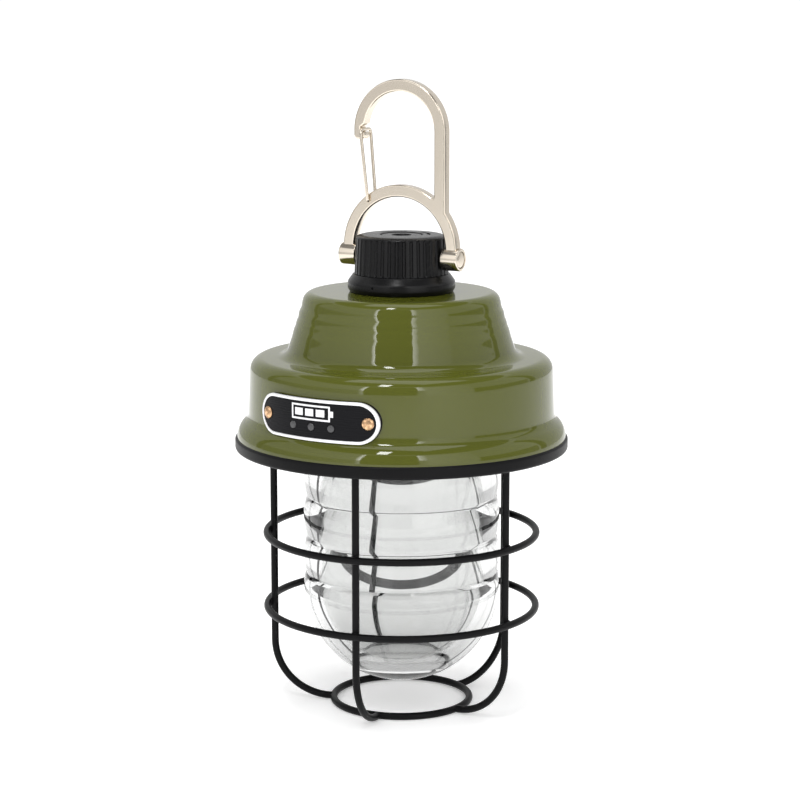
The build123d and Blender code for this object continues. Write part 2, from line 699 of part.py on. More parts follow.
# ---- write the nodes ----------------------------------------------------------------
def nodes():
    """Every node by name."""
    parts = {
        "shell": shell(),
        "shell_brackets": shell_brackets(),
        "rim_ring": rim_ring(),
        "foot_ring": hoop(FOOT_RING_R, WIRE_R),
        "rim_screws": rim_screws(),
        "lens": lens(),
        "lens_gasket": lens_gasket(),
        "led_board": led_board(),
        "led_chips": led_chips(),
        "reflector": reflector(),
        "chassis": chassis(),
        "collar": collar(),
        "mounting_stud": mounting_stud(),
        "stud_nut": stud_nut(),
        "fluted_cap": fluted_cap(),
        "cap_screws": cap_screws(),
        "switch_board": switch_board(),
        "tact_switch": tact_switch(),
        "switch_plunger": switch_plunger(),
        "power_button": power_button(),
        "bail": bail(),
        "pivot_pins": pivot_pins(),
        "gate_wire": gate_wire(),
    }
    for name, height in HOOP_HEIGHTS.items():
        parts[name] = hoop(HOOP_R, height)
    one = upright()
    for i in range(UPRIGHTS):
        parts[f"cage_upright_{i + 1}"] = at_angle(one, FIRST_UPRIGHT + CAGE_STEP * i)
    with_shell = (
        battery_cradle, battery_cell, battery_contacts, main_pcb, pcb_components,
        pcb_screws, usb_port, port_bezel, port_cover, cover_hinge_pin,
        indicator_board, indicator_lenses, badge_plate, badge_pins,
        switch_leads, led_leads, battery_leads,
    )
    for make in with_shell:
        parts[make.__name__] = at_angle(make(), SHELL_TURN)
    return parts


os.makedirs("parts", exist_ok=True)
for node, shape in nodes().items():
    export_step(shape, f"parts/{node}.step")
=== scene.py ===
import math

import bmesh
import bpy
from mathutils import Matrix, Vector, noise


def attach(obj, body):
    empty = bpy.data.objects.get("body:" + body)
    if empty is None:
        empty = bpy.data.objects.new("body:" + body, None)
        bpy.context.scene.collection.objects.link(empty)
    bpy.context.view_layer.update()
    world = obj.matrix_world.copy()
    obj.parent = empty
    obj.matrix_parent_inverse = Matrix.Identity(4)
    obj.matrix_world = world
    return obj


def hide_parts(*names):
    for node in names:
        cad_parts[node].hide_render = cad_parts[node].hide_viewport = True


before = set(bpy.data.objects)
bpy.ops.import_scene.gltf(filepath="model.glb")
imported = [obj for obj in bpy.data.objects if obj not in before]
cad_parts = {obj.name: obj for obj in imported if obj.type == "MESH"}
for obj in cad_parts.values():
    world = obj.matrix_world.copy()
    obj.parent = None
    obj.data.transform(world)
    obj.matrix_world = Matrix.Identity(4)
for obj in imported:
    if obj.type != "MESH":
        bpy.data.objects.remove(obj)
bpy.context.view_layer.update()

bl_info = {
    "name": "Camping Lantern",
    "version": (1, 0, 0),
    "blender": (4, 5, 0),
    "location": "View3D > Sidebar > Lantern",
    "description": "Builds a hanging camping lantern with its cage, clear dome, badge and carabiner bail",
    "category": "Add Mesh",
}

MM = 0.001
QUARTER = math.radians(90)
SIDES = (-1, 1)
SHELL_TURN = math.radians(-4.7)     # the badge side stands this far off square to the bail


# ---- sizes and colours a user may change --------------------------------------------
def length(name, description, default):
    """A size property shown in the scene's length unit."""
    return bpy.props.FloatProperty(
        name=name, description=description, default=default, min=0.0, subtype="DISTANCE", unit="LENGTH",
        precision=5,
    )


def colour(name, description, default):
    """A linear colour property."""
    return bpy.props.FloatVectorProperty(
        name=name, description=description, default=default, size=3, min=0.0, max=1.0, subtype="COLOR"
    )


class LanternSettings(bpy.types.PropertyGroup):
    """Sizes and colours of the lantern."""

    wire: length("Cage wire radius", "Radius of the wire of the cage", 0.0010)
    hoop: length("Hoop radius", "Radius of the two cage hoops, to the middle of the wire", 0.0375)
    foot: length("Foot ring radius", "Radius of the foot ring, to the middle of the wire", 0.0191)
    dome: length("Dome radius", "Outer radius of the clear dome", 0.02725)
    bore: length("Dome bore", "Inner radius of the clear dome", 0.0225)
    bail_width: length("Bail bar width", "Width of the bail's bar", 0.0033)
    bail_edge: length("Bail edge radius", "Rounding of the bail's long edges", 0.0005)
    gate_wire: length("Gate wire radius", "Radius of the gate's spring wire", 0.00045)
    enamel: colour("Enamel", "Colour of the enamelled housing", (0.0735, 0.0815, 0.0078))
    black: colour("Black paint", "Colour of cage, rim and cap", (0.0052, 0.0052, 0.0056))
    metal: colour("Plated metal", "Colour of the bail and the gate", (0.73, 0.655, 0.555))
    copper: colour("Copper", "Colour of the badge pins", (0.86, 0.54, 0.31))
    clear: colour("Clear plastic", "Tint of the dome", (0.715, 0.72, 0.715))
    badge: colour("Badge", "Colour of the badge face", (0.0075, 0.0075, 0.0088))
    floor: colour("Floor", "Colour of the studio floor", (0.95, 0.95, 0.95))


def settings():
    """The scene's lantern settings."""
    return bpy.context.scene.lantern


# ---- shader arithmetic --------------------------------------------------------------
class Value:
    """A socket of a node tree that combines with numbers and other sockets like a number."""

    def __init__(self, tree, socket):
        self.tree = tree
        self.socket = socket

    def math(self, operation, first, second=0.0):
        """The Math node's result for two operands."""
        node = self.tree.nodes.new("ShaderNodeMath")
        node.operation = operation
        feed(self.tree, node.inputs[0], first)
        feed(self.tree, node.inputs[1], second)
        return Value(self.tree, node.outputs[0])

    def __add__(self, other):
        return self.math("ADD", self, other)

    def __radd__(self, other):
        return self.math("ADD", other, self)

    def __sub__(self, other):
        return self.math("SUBTRACT", self, other)

    def __rsub__(self, other):
        return self.math("SUBTRACT", other, self)

    def __mul__(self, other):
        return self.math("MULTIPLY", self, other)

    def __rmul__(self, other):
        return self.math("MULTIPLY", other, self)

    def fraction(self):
        """The part of the value after the decimal point."""
        return self.math("FRACT", self)


def feed(tree, socket, value):
    """Link a socket or set its number or colour."""
    if isinstance(value, Value):
        tree.links.new(value.socket, socket)
    elif hasattr(socket.default_value, "__len__"):
        socket.default_value = (*value, 1.0)[:len(socket.default_value)]
    else:
        socket.default_value = value


def make_node(tree, kind, setup, **inputs):
    """A new node: its settings first, then its inputs by name with underscores for spaces."""
    node = tree.nodes.new(kind)
    for key, value in setup.items():
        setattr(node, key, value)
    for key, value in inputs.items():
        feed(tree, node.inputs[key.replace("_", " ")], value)
    return node


class Look:
    """A procedural material: a surface shader and the patterns that vary over it."""

    def __init__(self, name):
        self.material = bpy.data.materials.new(name)
        self.material.use_nodes = True
        self.tree = self.material.node_tree
        self.tree.nodes.clear()
        self.place = self.output("ShaderNodeTexCoord", "Object")

    def output(self, kind, name, setup=None, **inputs):
        """One named output of a new node."""
        node = make_node(self.tree, kind, setup or {}, **inputs)
        return Value(self.tree, node.outputs[name])

    def cloud(self, scale, detail=2.0, roughness=0.5, where=None):
        """Soft noise from 0 to 1 with that many waves a metre."""
        place = where or self.place
        return self.output(
            "ShaderNodeTexNoise", "Fac", Vector=place, Scale=scale, Detail=detail, Roughness=roughness
        )

    def cells(self, scale):
        """Distance to the nearest of scattered points."""
        return self.output("ShaderNodeTexVoronoi", "Distance", Vector=self.place, Scale=scale)

    def stretched(self, x, y, z):
        """The place with each axis scaled, for streaks."""
        node = make_node(self.tree, "ShaderNodeVectorMath", {"operation": "MULTIPLY"})
        for socket, value in zip(node.inputs, (self.place, (x, y, z))):
            feed(self.tree, socket, value)
        return Value(self.tree, node.outputs["Vector"])

    def axis(self, name):
        """One coordinate of the place in metres."""
        return self.output("ShaderNodeSeparateXYZ", name, Vector=self.place)

    def ramp(self, value, low, high):
        """0 below low, 1 above high, smooth between."""
        smooth = {"interpolation_type": "SMOOTHSTEP"}
        return self.output("ShaderNodeMapRange", "Result", smooth, Value=value, From_Min=low, From_Max=high)

    def mix(self, share, first, second):
        """A colour between two colours."""
        node = make_node(self.tree, "ShaderNodeMix", {"data_type": "RGBA"})
        feed(self.tree, node.inputs["Factor"], share)
        colours = [socket for socket in node.inputs if socket.type == "RGBA"]
        for socket, value in zip(colours, (first, second)):
            feed(self.tree, socket, value)
        mixed = next(socket for socket in node.outputs if socket.type == "RGBA")
        return Value(self.tree, mixed)

    def bump(self, height, depth):
        """A normal from a height of 0 to 1 that stands for that depth in metres."""
        return self.output("ShaderNodeBump", "Normal", Height=height, Distance=depth, Strength=1.0)

    def surface(self, **inputs):
        """Close the material with a surface shader."""
        shader = make_node(self.tree, "ShaderNodeBsdfPrincipled", {}, **inputs)
        out = self.tree.nodes.new("ShaderNodeOutputMaterial")
        self.tree.links.new(shader.outputs[0], out.inputs["Surface"])
        return self.material

    def glow(self, tone, strength):
        """Close the material with a surface that only shines."""
        return self.surface(
            Base_Color=grey(0.0), Roughness=1.0, Specular_IOR_Level=0.0,
            Emission_Color=tone, Emission_Strength=strength,
        )


def grey(level):
    """A grey of that level."""
    return (level, level, level)


def shade(tone, factor):
    """A colour made darker or lighter."""
    return tuple(min(1.0, channel * factor) for channel in tone)


# ---- materials ----------------------------------------------------------------------
def enamel_look():
    """Glossy enamel with a faint orange peel and a few dust nibs."""
    look = Look("enamel")
    tone = settings().enamel
    drift = look.cloud(35.0, 3.0)
    nibs = look.ramp(look.cells(420.0), 0.035, 0.0)
    peel = look.cloud(420.0, 2.0) * 0.8 + look.cloud(95.0, 1.0) * 1.4
    smear = look.cloud(60.0, 4.0, 0.6)
    return look.surface(
        Base_Color=look.mix(drift, shade(tone, 0.95), shade(tone, 1.06)),
        Roughness=0.025 + smear * 0.05,
        IOR=1.48,
        Normal=look.bump(peel + nibs * 0.5, 0.0000035),
    )


def powder_look():
    """Satin black powder coat on wire and rim."""
    look = Look("powder_coat")
    tone = settings().black
    grain = look.cloud(5200.0, 2.0)
    rub = look.ramp(look.cloud(260.0, 5.0, 0.7), 0.60, 0.78)
    return look.surface(
        Base_Color=look.mix(rub, tone, shade(tone, 2.2)),
        Roughness=0.32 + grain * 0.14 - rub * 0.08,
        Specular_IOR_Level=0.10,
        Normal=look.bump(grain, 0.000012),
    )


def black_plastic_look():
    """Moulded black plastic with a very fine spark texture."""
    look = Look("black_plastic")
    tone = settings().black
    spark = look.cloud(7600.0, 3.0, 0.6)
    handling = look.cloud(150.0, 3.0)
    return look.surface(
        Base_Color=look.mix(handling, shade(tone, 0.9), shade(tone, 1.35)),
        Roughness=0.17 + handling * 0.12 + spark * 0.06,
        Specular_IOR_Level=0.20,
        Normal=look.bump(spark, 0.000008),
    )


def nickel_look():
    """Satin nickel plate on a casting: faint ripples, hair scratches, worn high spots."""
    look = Look("nickel")
    tone = settings().metal
    ripple = look.cloud(210.0, 2.0)
    hair = look.cloud(1.0, 3.0, 0.6, look.stretched(350.0, 5200.0, 350.0))
    scuffs = look.ramp(look.cloud(900.0, 4.0, 0.7), 0.58, 0.75)
    return look.surface(
        Base_Color=look.mix(ripple, shade(tone, 0.98), shade(tone, 1.02)),
        Metallic=1.0,
        Roughness=0.15 + hair * 0.05 + scuffs * 0.05,
        Normal=look.bump(ripple + hair * 0.05, 0.0000012),
    )


def copper_look():
    """Hammered copper of the badge pins."""
    look = Look("copper_pin")
    tone = settings().copper
    dents = look.cells(1500.0)
    tarnish = look.ramp(dents, 0.25, 0.75)
    return look.surface(
        Base_Color=look.mix(tarnish, tone, shade(tone, 0.55)),
        Metallic=1.0,
        Roughness=0.20 + tarnish * 0.2,
        Normal=look.bump(dents, 0.00003),
    )


def clear_look():
    """Clear moulded acrylic with very slight flow marks and fine wipe scratches."""
    look = Look("clear_acrylic")
    flow = look.cloud(60.0, 2.0)
    wipes = look.ramp(look.cloud(1.0, 4.0, 0.7, look.stretched(300.0, 300.0, 2600.0)), 0.66, 0.80)
    return look.surface(
        Base_Color=settings().clear,
        Roughness=0.004 + wipes * 0.05,
        IOR=1.49,
        Transmission_Weight=1.0,
        Normal=look.bump(flow, 0.000006),
    )


def badge_look():
    """Printed black badge face with a fine brushed grain under the print."""
    look = Look("badge_black")
    tone = settings().badge
    grain = look.cloud(1.0, 3.0, 0.6, look.stretched(160.0, 160.0, 6400.0))
    return look.surface(
        Base_Color=look.mix(grain, shade(tone, 0.95), shade(tone, 1.06)),
        Roughness=0.25 + grain * 0.05,
        Specular_IOR_Level=0.08,
        Normal=look.bump(grain, 0.000001),
    )


def bright_border_look():
    """Bare bright metal of the badge border and its print."""
    look = Look("bright_border")
    grain = look.cloud(1.0, 3.0, 0.6, look.stretched(500.0, 500.0, 5200.0))
    wear = look.cloud(800.0, 4.0, 0.65)
    return look.surface(
        Base_Color=look.mix(wear, (0.80, 0.80, 0.82), (0.93, 0.93, 0.95)),
        Metallic=0.55,
        Roughness=0.26 + grain * 0.14,
        Normal=look.bump(grain, 0.000003),
    )


def moulded_look(name, tone, rough, spread=1.12, depth=0.000008):
    """Plain moulded or pressed material with fine grain and soft handling marks."""
    look = Look(name)
    grain = look.cloud(5200.0, 2.0)
    marks = look.cloud(180.0, 4.0, 0.6)
    return look.surface(
        Base_Color=look.mix(marks, shade(tone, 2.0 - spread), shade(tone, spread)),
        Roughness=rough + (marks - 0.5) * 0.14,
        Normal=look.bump(grain, depth),
    )


def steel_look():
    """Bare steel with drawn streaks."""
    look = Look("steel")
    tone = grey(0.58)
    streak = look.cloud(1.0, 4.0, 0.6, look.stretched(300.0, 300.0, 4800.0))
    stain = look.cloud(260.0, 4.0, 0.6)
    return look.surface(
        Base_Color=look.mix(stain, shade(tone, 0.86), shade(tone, 1.08)),
        Metallic=1.0,
        Roughness=0.3 + (streak - 0.5) * 0.16,
        Normal=look.bump(streak, 0.000003),
    )


def board_look():
    """Green circuit board with copper tracks under the mask."""
    look = Look("board")
    lines = (look.axis("X") * 700.0 + look.cloud(40.0, 0.0) * 6.0).fraction()
    pads = look.ramp(look.cells(330.0), 0.16, 0.10)
    track = look.ramp(lines, 0.42, 0.5) * look.ramp(look.cloud(60.0, 1.0), 0.42, 0.5)
    mask = look.mix(track, (0.010, 0.075, 0.030), (0.022, 0.135, 0.052))
    return look.surface(
        Base_Color=look.mix(pads, mask, (0.55, 0.52, 0.46)),
        Metallic=pads * 0.8,
        Roughness=0.32 + look.cloud(400.0, 2.0) * 0.12,
        Normal=look.bump(track + pads, 0.00003),
    )


def lead_look():
    """Insulated lead, red over a darker band."""
    look = Look("lead")
    band = look.ramp(look.axis("X"), -0.0002, 0.0002)
    dust = look.cloud(900.0, 3.0)
    return look.surface(
        Base_Color=look.mix(band, (0.018, 0.018, 0.02), (0.42, 0.022, 0.018)),
        Roughness=0.42 + dust * 0.14,
        Normal=look.bump(dust, 0.00001),
    )


def wrap_look():
    """Shrink wrap of the battery cell with faint creases."""
    look = Look("cell_wrap")
    crease = look.cloud(1.0, 4.0, 0.6, look.stretched(2200.0, 240.0, 240.0))
    ends = look.ramp(look.axis("X"), 0.0300, 0.0304)
    return look.surface(
        Base_Color=look.mix(ends, (0.035, 0.11, 0.28), (0.72, 0.72, 0.72)),
        Roughness=0.22 + crease * 0.14,
        Normal=look.bump(crease, 0.00002),
    )


def phosphor_look():
    """Yellow phosphor of the light sources."""
    look = Look("phosphor")
    grain = look.cloud(5000.0, 3.0)
    return look.surface(
        Base_Color=look.mix(grain, (0.78, 0.62, 0.16), (0.92, 0.80, 0.30)),
        Roughness=0.35 + grain * 0.2,
        Normal=look.bump(grain, 0.00001),
    )


looks_made = {}


def all_looks():
    """Every material of the lantern by its slot name, made once."""
    if not looks_made:
        looks_made.update({
            "enamel_green": enamel_look(),
            "black_wire": powder_look(),
            "black_plastic": black_plastic_look(),
            "nickel": nickel_look(),
            "clear_acrylic": clear_look(),
            "silicone": moulded_look("silicone", grey(0.03), rough=0.62),
            "badge_black": badge_look(),
            "bright_border": bright_border_look(),
            "copper_pin": copper_look(),
            "light_pipe": moulded_look("light_pipe", (0.055, 0.055, 0.058), rough=0.22, depth=0.000002),
            "board": board_look(),
            "white_plastic": moulded_look("white_plastic", (0.84, 0.84, 0.82), rough=0.36, spread=1.03),
            "steel": steel_look(),
            "aluminium_board": moulded_look("aluminium_board", (0.82, 0.82, 0.80), rough=0.30, spread=1.04),
            "phosphor": phosphor_look(),
            "cell_wrap": wrap_look(),
            "grey_plastic": moulded_look("grey_plastic", (0.22, 0.22, 0.23), rough=0.46),
            "lead": lead_look(),
        })
    return looks_made


# ---- geometry -----------------------------------------------------------------------
def arc(middle, radius, start, stop, step=4.0):
    """Points on an arc between two angles in degrees."""
    count = max(2, int(abs(stop - start) / step))
    turns = [math.radians(start + (stop - start) * i / count) for i in range(count + 1)]
    return [(middle[0] + radius * math.cos(t), middle[1] + radius * math.sin(t)) for t in turns]


def rounded(corners, closed=True, step=9.0):
    """Outline through corners (x, y, radius) with each corner rounded."""
    points = []
    count = len(corners)
    for i, (x, y, radius) in enumerate(corners):
        end = not closed and i in (0, count - 1)
        if not radius or end:
            points.append((x, y))
            continue
        here = Vector((x, y))
        back = (Vector(corners[i - 1][:2]) - here).normalized()
        ahead = (Vector(corners[(i + 1) % count][:2]) - here).normalized()
        opening = back.angle(ahead)
        reach = radius / math.tan(opening / 2)
        middle = here + (back + ahead).normalized() * (radius / math.sin(opening / 2))
        first, last = here + back * reach - middle, here + ahead * reach - middle
        turn = first.angle_signed(last)
        pieces = max(2, int(math.degrees(abs(turn)) / step))
        for j in range(pieces + 1):
            spun = first.copy()
            spun.rotate(Matrix.Rotation(-turn * j / pieces, 2))
            points.append(tuple(middle + spun))
    return points


def finer(points, step):
    """The same line with long stretches divided."""
    line = []
    for (x0, y0), (x1, y1) in zip(points, points[1:]):
        count = max(1, int(math.hypot(x1 - x0, y1 - y0) / step))
        line += [(x0 + (x1 - x0) * i / count, y0 + (y1 - y0) * i / count) for i in range(count)]
    return line + [points[-1]]


def add_mesh(name, verts, faces, sharp=32.0):
    """A new object from points in millimetres, cleaned, facing outward and smooth below the sharp angle."""
    mesh = bpy.data.meshes.new(name)
    mesh.from_pydata([(x * MM, y * MM, z * MM) for x, y, z in verts], [], faces)
    obj = bpy.data.objects.new(name, mesh)
    bpy.context.scene.collection.objects.link(obj)
    tidy_mesh(mesh, sharp)
    return obj


def tidy_mesh(mesh, sharp=32.0):
    """Merge doubled points, drop empty faces, face outward, and mark sharp edges."""
    work = bmesh.new()
    work.from_mesh(mesh)
    bmesh.ops.remove_doubles(work, verts=work.verts, dist=2e-7)
    bmesh.ops.dissolve_degenerate(work, edges=work.edges, dist=1e-7)
    bmesh.ops.recalc_face_normals(work, faces=work.faces)
    work.to_mesh(mesh)
    work.free()
    mesh.shade_smooth()
    mesh.set_sharp_from_angle(angle=math.radians(sharp))


def spin(profile, segments=256, closed=False, shape=None):
    """Points and faces of a profile (radius, height) turned about Z; an open one ends on the axis."""
    verts, rings, faces = [], [], []
    for radius, height in profile:
        if radius < 1e-9:
            rings.append([len(verts)])
            verts.append((0.0, 0.0, height))
            continue
        rings.append(list(range(len(verts), len(verts) + segments)))
        for k in range(segments):
            angle = 2 * math.pi * k / segments
            r = shape(radius, height, angle) if shape else radius
            verts.append((r * math.sin(angle), -r * math.cos(angle), height))
    pairs = list(zip(rings, rings[1:]))
    if closed:
        pairs.append((rings[-1], rings[0]))
    for low, high in pairs:
        for k in range(segments):
            n = (k + 1) % segments
            corners = [low[k % len(low)], low[n % len(low)], high[n % len(high)], high[k % len(high)]]
            face = list(dict.fromkeys(corners))
            if len(face) > 2:
                faces.append(face)
    return verts, faces


def lathe(name, profile, segments=256, closed=True, sharp=32.0, shape=None):
    """A turned piece as an object."""
    return add_mesh(name, *spin(profile, segments, closed, shape), sharp=sharp)


def stacked(rings, closed=True, capped=False):
    """Points and faces of equal rings joined one to the next."""
    count, levels = len(rings[0]), len(rings)
    verts = [point for ring in rings for point in ring]
    faces = []
    for i in range(levels if closed else levels - 1):
        j = (i + 1) % levels
        for k in range(count):
            n = (k + 1) % count
            faces.append([i * count + k, i * count + n, j * count + n, j * count + k])
    if capped:
        faces.append(list(range(count)))
        faces.append([(levels - 1) * count + k for k in range(count)])
    return verts, faces


def tube(path, radius, sides=28, closed=False):
    """Points and faces of round wire along a path, with flat ends when it is open."""
    points = [Vector(p) for p in path]
    count = len(points)
    rings = []
    across = None
    for i, point in enumerate(points):
        before = points[i - 1] if closed or i else point
        after = points[(i + 1) % count] if closed or i < count - 1 else point
        along = (after - before).normalized()
        if across is None:
            across = along.orthogonal().normalized()
        across = (across - along * across.dot(along)).normalized()
        up = along.cross(across)
        turns = [2 * math.pi * k / sides for k in range(sides)]
        rings.append([tuple(point + (across * math.cos(t) + up * math.sin(t)) * radius) for t in turns])
    return stacked(rings, closed, capped=not closed)


def circle(radius, height, steps=180):
    """Points of a level circle."""
    turns = [2 * math.pi * i / steps for i in range(steps)]
    return [(radius * math.sin(t), -radius * math.cos(t), height) for t in turns]


def rounded_path(corners, radii, step=5.0):
    """A path through points in space with its inner corners rounded."""
    points = [Vector(corners[0])]
    for i in range(1, len(corners) - 1):
        here = Vector(corners[i])
        back = (Vector(corners[i - 1]) - here).normalized()
        ahead = (Vector(corners[i + 1]) - here).normalized()
        opening = back.angle(ahead)
        reach = radii[i - 1] / math.tan(opening / 2)
        middle = here + (back + ahead).normalized() * (radii[i - 1] / math.sin(opening / 2))
        first, last = here + back * reach - middle, here + ahead * reach - middle
        swing = first.angle(last)
        pieces = max(4, int(math.degrees(swing) / step))
        hinge = first.cross(last).normalized()
        for j in range(pieces + 1):
            spun = first.copy()
            spun.rotate(Matrix.Rotation(swing * j / pieces, 3, hinge))
            points.append(middle + spun)
    points.append(Vector(corners[-1]))
    return points


def joined(parts):
    """Several point and face lists as one."""
    verts, faces = [], []
    for some_verts, some_faces in parts:
        start = len(verts)
        verts += some_verts
        faces += [[start + i for i in face] for face in some_faces]
    return verts, faces


def turned(part, angle, axis="Z"):
    """A point and face list turned about an axis through the origin."""
    spun = Matrix.Rotation(angle, 3, axis)
    return [tuple(spun @ Vector(p)) for p in part[0]], part[1]


def moved(part, offset):
    """A point and face list shifted."""
    return [(x + offset[0], y + offset[1], z + offset[2]) for x, y, z in part[0]], part[1]


def bead(middle, reach, wobble=0.06):
    """A small weld bead: an uneven ellipsoid with half sizes reach along X, Y and Z."""
    rows, columns = 10, 18
    rings = []
    for i in range(rows + 1):
        lift = math.pi * i / rows
        ring = []
        for k in range(columns):
            t = 2 * math.pi * k / columns
            way = Vector((math.sin(lift) * math.cos(t), math.sin(lift) * math.sin(t), math.cos(lift)))
            swell = 1.0 if i in (0, rows) else 1 + wobble * noise.noise(way * 1.7 + Vector(middle))
            ring.append(tuple(Vector(middle) + Vector(way[a] * reach[a] * swell for a in range(3))))
        rings.append(ring)
    return stacked(rings, closed=False)


def cut(obj, tools, operation="DIFFERENCE", sharp=32.0):
    """Cut tools out of a piece, or join them to it, and remove the tools."""
    for tool in tools:
        step = obj.modifiers.new("cut", "BOOLEAN")
        step.operation = operation
        step.solver = "EXACT"
        step.object = tool
    graph = bpy.context.evaluated_depsgraph_get()
    mesh = bpy.data.meshes.new_from_object(obj.evaluated_get(graph))
    obj.modifiers.clear()
    obj.data = mesh
    for tool in tools:
        bpy.data.objects.remove(tool)
    tidy_mesh(mesh, sharp)
    return obj


def finished(obj, body, slot, nodes, look=None):
    """Give a piece its material, its slot, the nodes it stands for and the body it rides on."""
    obj.data.materials.clear()
    obj.data.materials.append(all_looks()[look or slot])
    if nodes:
        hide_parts(*nodes)
    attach(obj, body)
    return obj


def outward(part, angle, height):
    """A part built along Z, laid so that it points out from the axis at an angle and a height."""
    return moved(turned(turned(part, QUARTER, "X"), angle), (0, 0, height))


def rod_tool(radius, low, high, angle, height, sides=48):
    """A cutting rod that points outward from the axis."""
    rod = spin([(0, low), (radius, low), (radius, high), (0, high)], sides)
    return outward(rod, angle, height)


# ---- housing ------------------------------------------------------------------------
RIM_TOP = 76.3
PLATEAU = 116.3
SHEET = 1.0
SHELL_HOLE = 5.1
SHELL_LINE = [
    (45.4, RIM_TOP, 0),
    (45.4, 79.2, 5.6),
    (42.26, 81.84, 2.6),
    (41.62, 98.4, 3.6),
    (31.86, 98.65, 3.4),
    (26.43, PLATEAU, 2.8),
    (SHELL_HOLE, PLATEAU, 0),
]
# height, depth and half height of each faint band rolled into the cone
CONE_BANDS = [(112.2, 0.20, 0.85), (109.3, 0.18, 0.75), (107.3, 0.13, 0.7), (103.6, 0.06, 1.2)]
CONE_RANGE = (101.0, PLATEAU - 1.5)
CAP_SEAT = 20.0
PORT_HEIGHT = 88.2
PORT_WIDTH = 14.3
PORT_TALL = 8.4
PORT_CUT = (36.0, 50.0)


def shell_radius(radius, height):
    """The housing's outer radius with the faint rolled bands of the cone."""
    if radius < CAP_SEAT or not CONE_RANGE[0] < height < CONE_RANGE[1]:
        return radius
    return radius - sum(depth * math.exp(-((height - at) / spread) ** 2) for at, depth, spread in CONE_BANDS)


def inset_line(points, depth):
    """An open line moved to its inner side by a depth."""
    shifted = []
    for i, (x, y) in enumerate(points):
        before = Vector(points[max(i - 1, 0)])
        after = Vector(points[min(i + 1, len(points) - 1)])
        way = (after - before).normalized()
        shifted.append((x - way.y * depth, y + way.x * depth) if way.length else (x, y))
    return shifted


def port_slot():
    """A cutter with round ends for the charging port."""
    flat = (PORT_WIDTH - PORT_TALL) / 2
    ring = arc((flat, 0), PORT_TALL / 2, -90, 90, 9.0) + arc((-flat, 0), PORT_TALL / 2, 90, 270, 9.0)
    rings = [[(x, depth, PORT_HEIGHT + z) for x, z in ring] for depth in PORT_CUT]
    return stacked(rings, closed=False, capped=True)


class LANTERN_OT_housing(bpy.types.Operator):
    """Build the enamelled steel housing"""

    bl_idname = "lantern.housing"
    bl_label = "Housing"

    def execute(self, context):
        outer = finer(rounded(SHELL_LINE, closed=False, step=6.0), 0.7)
        inner = inset_line(outer, SHEET)
        inner[0] = (inner[0][0], RIM_TOP)
        inner[-1] = (SHELL_HOLE, PLATEAU - SHEET)
        outer = [(shell_radius(r, z), z) for r, z in outer]
        shell = lathe("housing", outer + inner[::-1], 288, closed=True, sharp=40.0)
        cut(shell, [add_mesh("port_cutter", *turned(port_slot(), SHELL_TURN))], sharp=40.0)
        finished(shell, "lamp", "enamel_green", ["shell"])
        return {"FINISHED"}


# ---- cage ---------------------------------------------------------------------------
FIRST_UPRIGHT = math.radians(8.5)
UPRIGHTS = 5
UPRIGHT_AT = 35.6
UPRIGHT_BEND = 16.4
WEB_BOTTOM = 73.9
WEB_TOP = 75.1
WEB_HOLE = 28.0
RIM_BOTTOM = 72.85
RIM_OUT = 46.0
RIM_IN = 43.8
HOOP_HEIGHTS = (49.0, 28.1)
SCREW_CIRCLE = 37.0
SCREW_TIP = 79.3
RECESS_TOP = 73.4
RECESS_REACH = 1.2


def upright_angle(index):
    """Where an upright stands, from the front toward +X."""
    return FIRST_UPRIGHT + 2 * math.pi * index / UPRIGHTS


